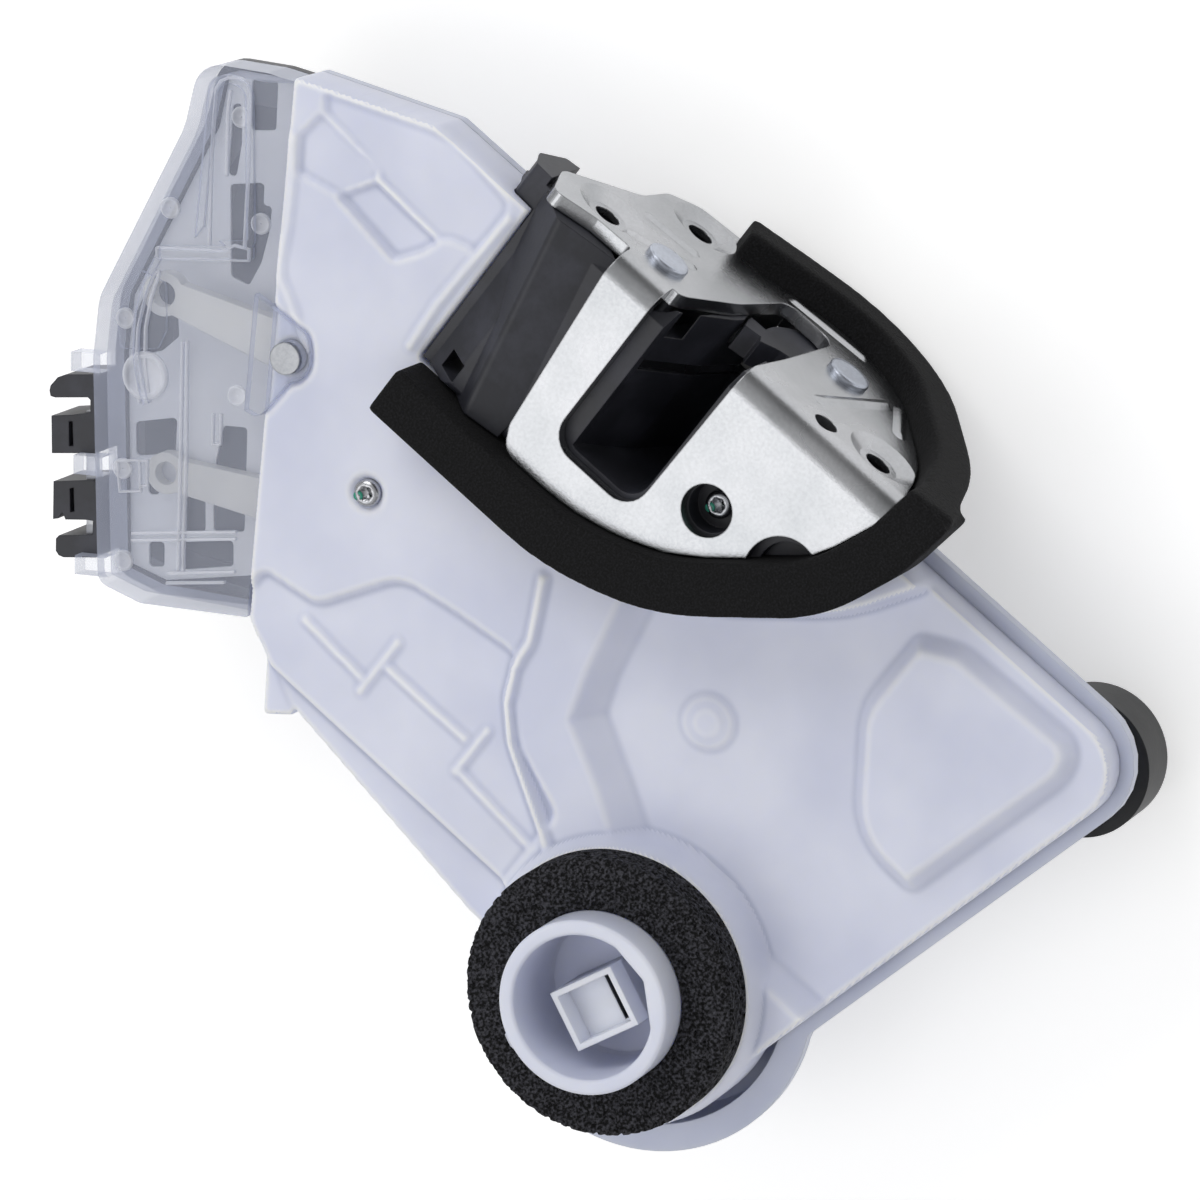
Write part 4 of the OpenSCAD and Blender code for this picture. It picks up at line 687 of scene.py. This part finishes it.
def setting_tree(name, material):
    tree, given, finish = new_tree(name, "Set shapes", ("Places", "NodeSocketGeometry"),
                                   ("Shape", "NodeSocketObject"), ("Size", "NodeSocketFloat", 1.0))
    shape = add(tree, "GeometryNodeObjectInfo", {"Object": given["Shape"]})
    facing = add(tree, "GeometryNodeInputNamedAttribute", {"Name": "facing"}, data_type="FLOAT_VECTOR")
    turn = add(tree, "FunctionNodeAlignEulerToVector", {"Vector": facing.outputs["Attribute"]}, axis="Z")
    setter = add(tree, "GeometryNodeInstanceOnPoints", {
        "Points": given["Places"], "Instance": shape.outputs["Geometry"],
        "Rotation": turn.outputs["Rotation"], "Scale": given["Size"]})
    return finish(setter.outputs["Instances"], material)

def set_on(name, material, shape, places, like, *stands_for, size=1.0):
    """places are (point in millimetres, direction)."""
    base = mesh_of([Vector(place) * MM for place, way in places], [], name + "_places")
    facing = base.attributes.new("facing", "FLOAT_VECTOR", "POINT")
    for k, (place, way) in enumerate(places):
        facing.data[k].vector = way
    holder = bpy.data.objects.new(name + "_shape", shape)
    done = baked(*setting_tree(name, material), base, {"Shape": holder, "Size": size}, name)
    bpy.data.objects.remove(holder)
    to_piece(name, done, material, like, *stands_for)

# %% Shapes of heads
def head(profile, columns=36, lobes=0, deep=0.0, drive=0.0):
    """A turned head from (radius, height) pairs in millimetres, with a lobed hole on request: deep
    is its depth and drive its radius."""
    rows = list(profile)
    if lobes:
        rows += [(drive, rows[-1][1]), (drive * 0.94, rows[-1][1] - deep), (0.02, rows[-1][1] - deep * 1.15)]
    points = []
    for k, (r, h) in enumerate(rows):
        lobed = lobes and k >= len(profile)
        for c in range(columns):
            angle = 2 * math.pi * c / columns
            reach = r * (1 + (0.16 * math.cos(lobes * angle) if lobed else 0))
            points.append(Vector((reach * math.cos(angle), reach * math.sin(angle), h)) * MM)
    return mesh_of(points, ring_walls(len(rows), columns), "head")

pan_head = head([(1.25, -14), (1.3, -2.05), (2.5, -2.0), (2.62, -1.85), (2.62, -1.0), (2.5, -0.55),
                 (2.15, -0.2), (1.7, 0.0)], lobes=6, deep=1.3, drive=1.35)
rivet_head = head([(4.15, -0.1), (4.2, 0.75), (4.05, 1.05), (3.6, 1.17), (2.9, 1.16), (1.6, 1.12),
                   (0.05, 1.12)])
ejector_mark = head([(1.0, -0.1), (1.0, 0.10), (0.86, 0.16), (0.74, 0.10), (0.70, 0.03), (0.05, 0.03)], columns=24)
paint_dab = head([(0.95, -0.25), (0.9, 0.02), (0.6, 0.10), (0.05, 0.12)], columns=14)

# %% Screws and rivet heads
INBOARD, OUTBOARD, SHUTWARD = (0, 0, 1), (0, 0, -1), (1, 0, 0)

def top_of(node):
    """The middle of a solid's top, in millimetres."""
    low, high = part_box(node)
    return ((low.x + high.x) / 2 / MM, (low.y + high.y) / 2 / MM, high.z / MM)

cover_screw_at, plate_screw_at = top_of("cover_screw"), top_of("plate_screw")
screw_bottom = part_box("case_screws")[0].z / MM
case_screws_at = [(x, y, screw_bottom) for x, y in ((-17, -101), (-72, -115), (-17.5, 40), (-113.5, -62))]
screw_places = [(at, INBOARD) for at in (cover_screw_at, plate_screw_at)]
screw_places += [(at, OUTBOARD) for at in case_screws_at]
set_on("pan_screws", zinc_screw, pan_head, screw_places, "cover_screw",
       "cover_screw", "plate_screw", "case_screws")
rivet_places = [((0, -14.2, 1.8), SHUTWARD), ((0, -49.8, -16.4), SHUTWARD)]
set_on("rivet_heads", zinc_rivet, rivet_head, rivet_places, "fork_pin")

# %% [markdown]
# A dab of green paint on a screw shows that it was tightened. It is a dull lacquer that covers
# part of the head.
# %% Green inspection paint
green_lacquer, tree, shader, place = new_material("green inspection lacquer", 0.1)
streaks = noise(tree, place, 1500, 2)
set_inputs(tree, shader, {"Roughness": 0.45, "Base Color": ramp(tree, streaks, "#1E7F6A", "#3FA58B")})
dab_places = [((at[0] - 1.35, at[1] + 0.9, at[2] - 0.22), INBOARD) for at in (cover_screw_at, plate_screw_at)]
set_on("paint_dabs", green_lacquer, paint_dab, dab_places, "cover_screw")

# %% [markdown]
# Ribs and walls inside the clear cover show as bright lines. Each follows a path, so a second
# Geometry Nodes tree sweeps a rounded bar along every path that it is given. Its inputs are the
# bar's width and height.
# %% Helper: bars swept along paths
def sweeping_tree(name, material):
    tree, given, finish = new_tree(name, "Swept bars", ("Paths", "NodeSocketGeometry"),
                                   ("Width", "NodeSocketFloat", 0.001), ("Height", "NodeSocketFloat", 0.001),
                                   ("Rounding", "NodeSocketFloat", 0.0002))
    paths = add(tree, "GeometryNodeMeshToCurve", {"Mesh": given["Paths"]})
    upright = add(tree, "GeometryNodeSetCurveNormal", {"Curve": paths.outputs["Curve"]}, mode="Z_UP")
    section = add(tree, "GeometryNodeCurvePrimitiveQuadrilateral",
                  {"Width": given["Width"], "Height": given["Height"]})
    rounded = add(tree, "GeometryNodeFilletCurve", {
        "Curve": section.outputs["Curve"], "Count": 2, "Radius": given["Rounding"]}, mode="POLY")
    bars = add(tree, "GeometryNodeCurveToMesh", {
        "Curve": upright.outputs["Curve"], "Profile Curve": rounded.outputs["Curve"], "Fill Caps": True})
    return finish(bars.outputs["Mesh"], material)

def swept(name, material, paths, like, width_mm, height_mm, rounding_mm):
    """paths are lists of (x, y, z) in millimetres."""
    points, edges = [], []
    for path in paths:
        edges += [(len(points) + k, len(points) + k + 1) for k in range(len(path) - 1)]
        points += [Vector(p) * MM for p in path]
    base = bpy.data.meshes.new(name + "_paths")
    base.from_pydata(points, edges, [])
    sizes = {"Width": width_mm * MM, "Height": height_mm * MM, "Rounding": rounding_mm * MM}
    to_piece(name, baked(*sweeping_tree(name, material), base, sizes, name), material, like)

# %% Ribs of the clear cover
clear_top = 5.0
rib_paths = [
    [(-56.2, 55.1), (-49.4, 60.0), (-42.7, 64.8), (-32.1, 71.6), (-30.4, 71.7), (-29.1, 71.0), (-27.8, 69.6),
     (-27.4, 68.8), (-27.3, 67.4), (-27.9, 66.2), (-39.8, 57.6), (-52.0, 49.3)],
    [(-43.7, 60.2), (-33.7, 67.4), (-30.5, 69.2)],
    [(-63.6, 62.9), (-55.2, 52.3), (-52.8, 51.2), (-51.5, 48.6), (-53.2, 47.3), (-58.9, 54.2), (-65.2, 61.7),
     (-63.6, 62.9)],
    [(-89.3, 48.0), (-84.8, 52.3), (-83.7, 53.1), (-78.3, 56.7), (-72.0, 59.4), (-67.5, 60.4), (-66.9, 60.0),
     (-67.5, 59.5), (-72.0, 58.1), (-77.2, 55.6), (-82.5, 51.7), (-87.8, 46.6)],
    [(-101.2, 44.8), (-98.0, 41.5), (-102.6, 37.7), (-105.5, 40.9), (-101.2, 44.8)],
    [(-98.0, 41.3), (-97.0, 40.2), (-100.8, 37.4), (-101.7, 38.2)],
    [(-110.2, 34.3), (-95.4, 18.4)], [(-111.3, 33.5), (-96.5, 17.6)],
    [(-74.1, 48.4), (-91.7, 35.6), (-109.4, 22.8)], [(-73.5, 47.7), (-90.9, 34.7), (-108.7, 22.0)],
    [(-111.3, 24.2), (-101.6, 14.0)], [(-112.9, 23.2), (-104.6, 14.3)],
    [(-80.8, 35.4), (-85.5, 32.0), (-84.4, 30.8), (-79.7, 34.2)]]
mark_spots = [(-46.1, 49.6), (-33.0, 64.5), (-78.5, 59.8), (-55.9, 65.3), (-74.8, 33.8), (-115.5, 32.4),
              (-101.6, 43.1)]
rib_lines = [[(x, y, clear_top) for x, y in path] for path in rib_paths]
swept("clear_ribs", rib_pp, rib_lines, "clear_cover", width_mm=0.55, height_mm=0.9, rounding_mm=0.15)
for name, spots, size in (("mould_marks", mark_spots, 2.0), ("lever_boss", [(-84.4, 50.2)], 4.6)):
    places = [((x, y, clear_top), INBOARD) for x, y in spots]
    set_on(name, rib_pp, ejector_mark, places, "clear_cover", size=size)

# %% [markdown]
# The last pieces are plates with straight sides and holes. A Curve object with flat fill takes
# all outlines of such a plate at once, cuts the holes out and gives it a thickness.
# %% Helper: a sheet cut from outlines
def cut_sheet(outlines, low_mm, high_mm, rounding_mm=0.0):
    """A flat plate between two heights. The first outline may hold others, which become holes."""
    curve = bpy.data.curves.new("outlines", "CURVE")
    curve.dimensions, curve.fill_mode = "2D", "BOTH"
    curve.extrude = (high_mm - low_mm) / 2 * MM
    for outline in outlines:
        middle_of_end = Vector(outline[0]) * 0.5 + Vector(outline[-1]) * 0.5
        seam = (*middle_of_end, 0)
        line = rounded_line([seam] + [(x, y, rounding_mm) for x, y in outline] + [seam], step_deg=15)[:-1]
        spline = curve.splines.new("POLY")
        spline.points.add(len(line) - 1)
        for point, spot in zip(spline.points, line):
            point.co = (spot.x * MM, spot.y * MM, 0, 1)
        spline.use_cyclic_u = True
    holder = bpy.data.objects.new("outlines", curve)
    sheet = outcome(holder)
    bpy.data.objects.remove(holder)
    sheet.transform(Matrix.Translation((0, 0, (low_mm + high_mm) / 2 * MM)))
    return sheet

def flat_sided(*what):
    """A piece with flat shading."""
    for polygon in to_piece(*what).data.polygons:
        polygon.use_smooth = False

# %% [markdown]
# In the connector's tube stands a chamber for the contacts: four thin walls round a floor with one
# slot, turned by some degrees against the housing. Black nylon lines the slot's walls as painted shade
# of the deep slot.
# %% The contact chamber
chamber_pbt = milky_plastic("white polyester of the contact chamber", "#ECEFFA", "#F6F8FE",
                            depth=0.35, glossy=0.36)
slant = math.radians(-23.5)
chamber_at = Vector((ring_middle.x / MM - 1.2, ring_middle.y / MM - 1.1))

def in_the_chamber(x0, x1, y):
    """The corners of a box in the chamber's own turned frame."""
    return [(chamber_at.x + x * math.cos(slant) - y * math.sin(slant),
             chamber_at.y + x * math.sin(slant) + y * math.cos(slant))
            for x, y in ((x0, -y), (x1, -y), (x1, y), (x0, y))]

outer, inner = in_the_chamber(-6.7, 6.7, 5.85), in_the_chamber(-5.6, 5.6, 4.75)
slot, slot_shade_inner = in_the_chamber(2.2, 4.1, 4.4), in_the_chamber(2.4, 3.9, 4.2)
chamber_foot, chamber_ledge, chamber_top = tube_floor / MM, 15.4, 20.6
walls = cut_sheet([outer, inner], chamber_foot, chamber_top)
ledge = cut_sheet([outer, slot], chamber_foot, chamber_ledge)
# painted shade: black walls line the slot in place of the shade down in it
slot_shade_walls = cut_sheet([slot, slot_shade_inner], chamber_foot, chamber_ledge - 0.1)
flat_sided("contact_chamber", walls, chamber_pbt, "connector_block", "connector_block")
flat_sided("contact_floor", ledge, chamber_pbt, "connector_block")
flat_sided("slot_lining", slot_shade_walls, nylon, "cable_holder")

# %% [markdown]
# Under the clear cover lies a white tray that keeps the two cables apart. Its windows look
# down into the black base, which is what shows as dark fields. The tray is painted lighter than the
# other white polypropylene, to make up for the shade under the clear cover.
# %% The tray under the clear cover
# painted light: these colours are lighter than white polypropylene's, against the shade under the clear cover
lightened_tray_pp = milky_plastic("white polypropylene tray", "#ECEFFA", "#F6F8FE", depth=0.35, glossy=0.36)
tray_outline = [(-103.2, 12.0), (-25.0, 60.9), (-25.4, 65.0), (-31.2, 74.6), (-41.5, 69.8), (-78.4, 63.9),
                (-88.0, 58.2), (-119.8, 33.6), (-117.4, 26.0)]
windows = [[(-30.0, 70.1), (-27.0, 65.8), (-34.5, 60.6), (-37.8, 64.4)],
           [(-36.5, 70.2), (-34.9, 69.0), (-40.9, 64.5), (-46.7, 61.5), (-47.5, 63.0)],
           [(-48.6, 61.6), (-43.8, 56.5), (-47.3, 54.1), (-46.3, 52.6), (-50.6, 50.1), (-56.1, 47.9),
            (-61.2, 47.2), (-62.3, 51.0)],
           [(-72.3, 63.4), (-69.8, 59.5), (-78.5, 52.2), (-82.9, 53.2), (-88.0, 57.2), (-80.7, 61.8)],
           [(-97.5, 49.2), (-91.0, 43.2), (-96.8, 39.3), (-102.6, 45.2)],
           [(-102.9, 41.5), (-101.3, 40.1), (-105.3, 37.1), (-106.9, 38.8)],
           [(-98.0, 36.4), (-94.7, 33.1), (-104.5, 25.6), (-107.7, 29.2)],
           [(-85.8, 35.1), (-82.8, 31.2), (-99.0, 19.6), (-103.4, 24.3), (-94.4, 31.2)],
           [(-109.3, 28.0), (-101.9, 20.3), (-105.8, 17.3), (-113.9, 25.1)],
           [(-114.0, 33.2), (-111.8, 30.8), (-115.7, 27.9), (-117.8, 30.3)]]
tray_bottom, tray_top, tray_rounding = -5.6, -5.15, 0.8
tray = cut_sheet([tray_outline] + windows, tray_bottom, tray_top, tray_rounding)
flat_sided("cable_tray", tray, lightened_tray_pp, "cover")

# %% [markdown]
# Two black clips at the end of the housing hold the cables. Each is a thick hooked plate with a
# slot for the clear strap, so the same helper cuts it from its outline.
# %% The cable clips
clips = [[(-103.6, 64.4), (-102.9, 65.2), (-102.0, 65.6), (-99.7, 65.4), (-98.1, 64.4), (-94.7, 60.6),
          (-94.7, 59.5), (-106.0, 50.7), (-112.2, 57.6), (-106.5, 62.0), (-103.5, 58.9), (-101.3, 56.9),
          (-100.4, 56.3), (-98.6, 57.7), (-98.6, 58.4), (-103.2, 63.5)],
         [(-104.9, 58.6), (-104.4, 58.0), (-108.1, 55.0), (-108.7, 55.7)],
         [(-116.3, 54.1), (-111.3, 48.9), (-110.4, 48.0), (-110.7, 46.7), (-121.2, 38.6), (-122.0, 38.6),
          (-126.6, 43.7), (-127.0, 44.7), (-126.7, 45.7), (-124.8, 47.1), (-123.9, 47.0), (-119.0, 41.8),
          (-116.8, 43.3), (-117.4, 44.3), (-120.5, 47.8), (-119.8, 49.1), (-121.4, 49.1), (-122.2, 49.8)],
         [(-115.1, 50.7), (-114.4, 50.2), (-118.0, 47.3), (-118.7, 47.9)]]
clip_bottom, clip_top = -12.5, -1.0
flat_sided("cable_clips", cut_sheet(clips, clip_bottom, clip_top), nylon, "cable_holder", "cable_holder")

# %% [markdown]
# The camera stands where the photographer's stood: far away, with a long lens, looking down
# past the steel plate. Three direction vectors give its turn.
# %% Camera
camera_data = bpy.data.cameras.new("camera")
camera = in_scene("camera", camera_data)
camera_data.lens, camera_data.sensor_width = 181.5, 36.0
camera_data.clip_end = 10.0
right = Vector((0.5711, -0.7293, -0.3767))
up = Vector((0.7221, 0.6646, -0.1919))
back = Vector((0.3904, -0.1624, 0.9062))
turn = Matrix((right, up, back)).transposed().to_4x4()
camera.matrix_world = Matrix.Translation(Vector((0.3727, -0.2218, 1.0003))) @ turn
bpy.context.scene.camera = camera

# %% [markdown]
# A pale floor under the latch takes its shadow. It looks white to the camera, and in metal and
# clear plastic, by a glow that lights nothing, so the white doesn't come from more light on the
# object. The world is a soft room, bright overhead and dimmer low on one side. Metal needs such a
# difference: the plate's leg mirrors the bright part and its bend the dim one. Large lamps add the
# gentle fall of light over the cover.
# %% Floor, world and lamps
half_floor, floor_z, floor_glow = 3, cad_low.z - 0.5 * MM, 0.42
square = [(x * half_floor, y * half_floor, floor_z) for x, y in ((-1, -1), (1, -1), (1, 1), (-1, 1))]
floor_mesh = mesh_of(square, [(0, 1, 2, 3)], "floor")
floor = in_scene("floor", floor_mesh)
floor_paint, tree, shader, _ = new_material("pale floor")
path = add(tree, "ShaderNodeLightPath").outputs
seen = add(tree, "ShaderNodeMath", {0: path["Is Camera Ray"], 1: path["Is Glossy Ray"]}, operation="MAXIMUM")
seen = add(tree, "ShaderNodeMath", {0: seen.outputs[0], 1: path["Is Transmission Ray"]}, operation="MAXIMUM")
glow = add(tree, "ShaderNodeMath", {0: seen.outputs[0], 1: floor_glow}, operation="MULTIPLY")
set_inputs(tree, shader, {"Base Color": paint("#F2F2F2"), "Roughness": 0.9, "Emission Color": (1, 1, 1, 1),
                          "Emission Strength": glow.outputs[0]})
floor_mesh.materials.append(floor_paint)

world = bpy.data.worlds.new("studio")
bpy.context.scene.world = world
world.use_nodes = True
tree = world.node_tree
tree.nodes.clear()
way = add(tree, "ShaderNodeTexCoord").outputs["Generated"]
bright_way, dimmest, brightest = (-0.42, 0.10, 0.90), 0.20, 0.72
brighter = add(tree, "ShaderNodeVectorMath", {0: way, 1: bright_way}, operation="DOT_PRODUCT")
level = scaled(tree, brighter.outputs["Value"], dimmest, brightest)
sky = add(tree, "ShaderNodeBackground", {"Color": (1, 1, 1, 1), "Strength": level})
add(tree, "ShaderNodeOutputWorld", {"Surface": sky.outputs[0]})

def lamp(name, place, aim, size, power):
    data = bpy.data.lights.new(name, "AREA")
    data.shape, data.size, data.energy = "DISK", size, power
    light = in_scene(name, data)
    light.location = place
    light.rotation_mode = "QUATERNION"
    light.rotation_quaternion = (Vector(aim) - Vector(place)).to_track_quat("-Z", "Y")

middle = (cad_low + cad_high) / 2
lamp("window", middle + (0.9 * up - 0.5 * right + 0.7 * back) * 0.8, middle, size=0.7, power=3.1)
lamp("overhead", middle + Vector((-0.39, 0.16, 0.906)) * 0.9, middle, size=0.62, power=1.25)
lamp("fill", middle + (0.8 * right - 0.2 * up + 0.6 * back) * 0.9, middle, size=0.6, power=0.9)

bpy.context.scene.view_settings.view_transform = "Standard"
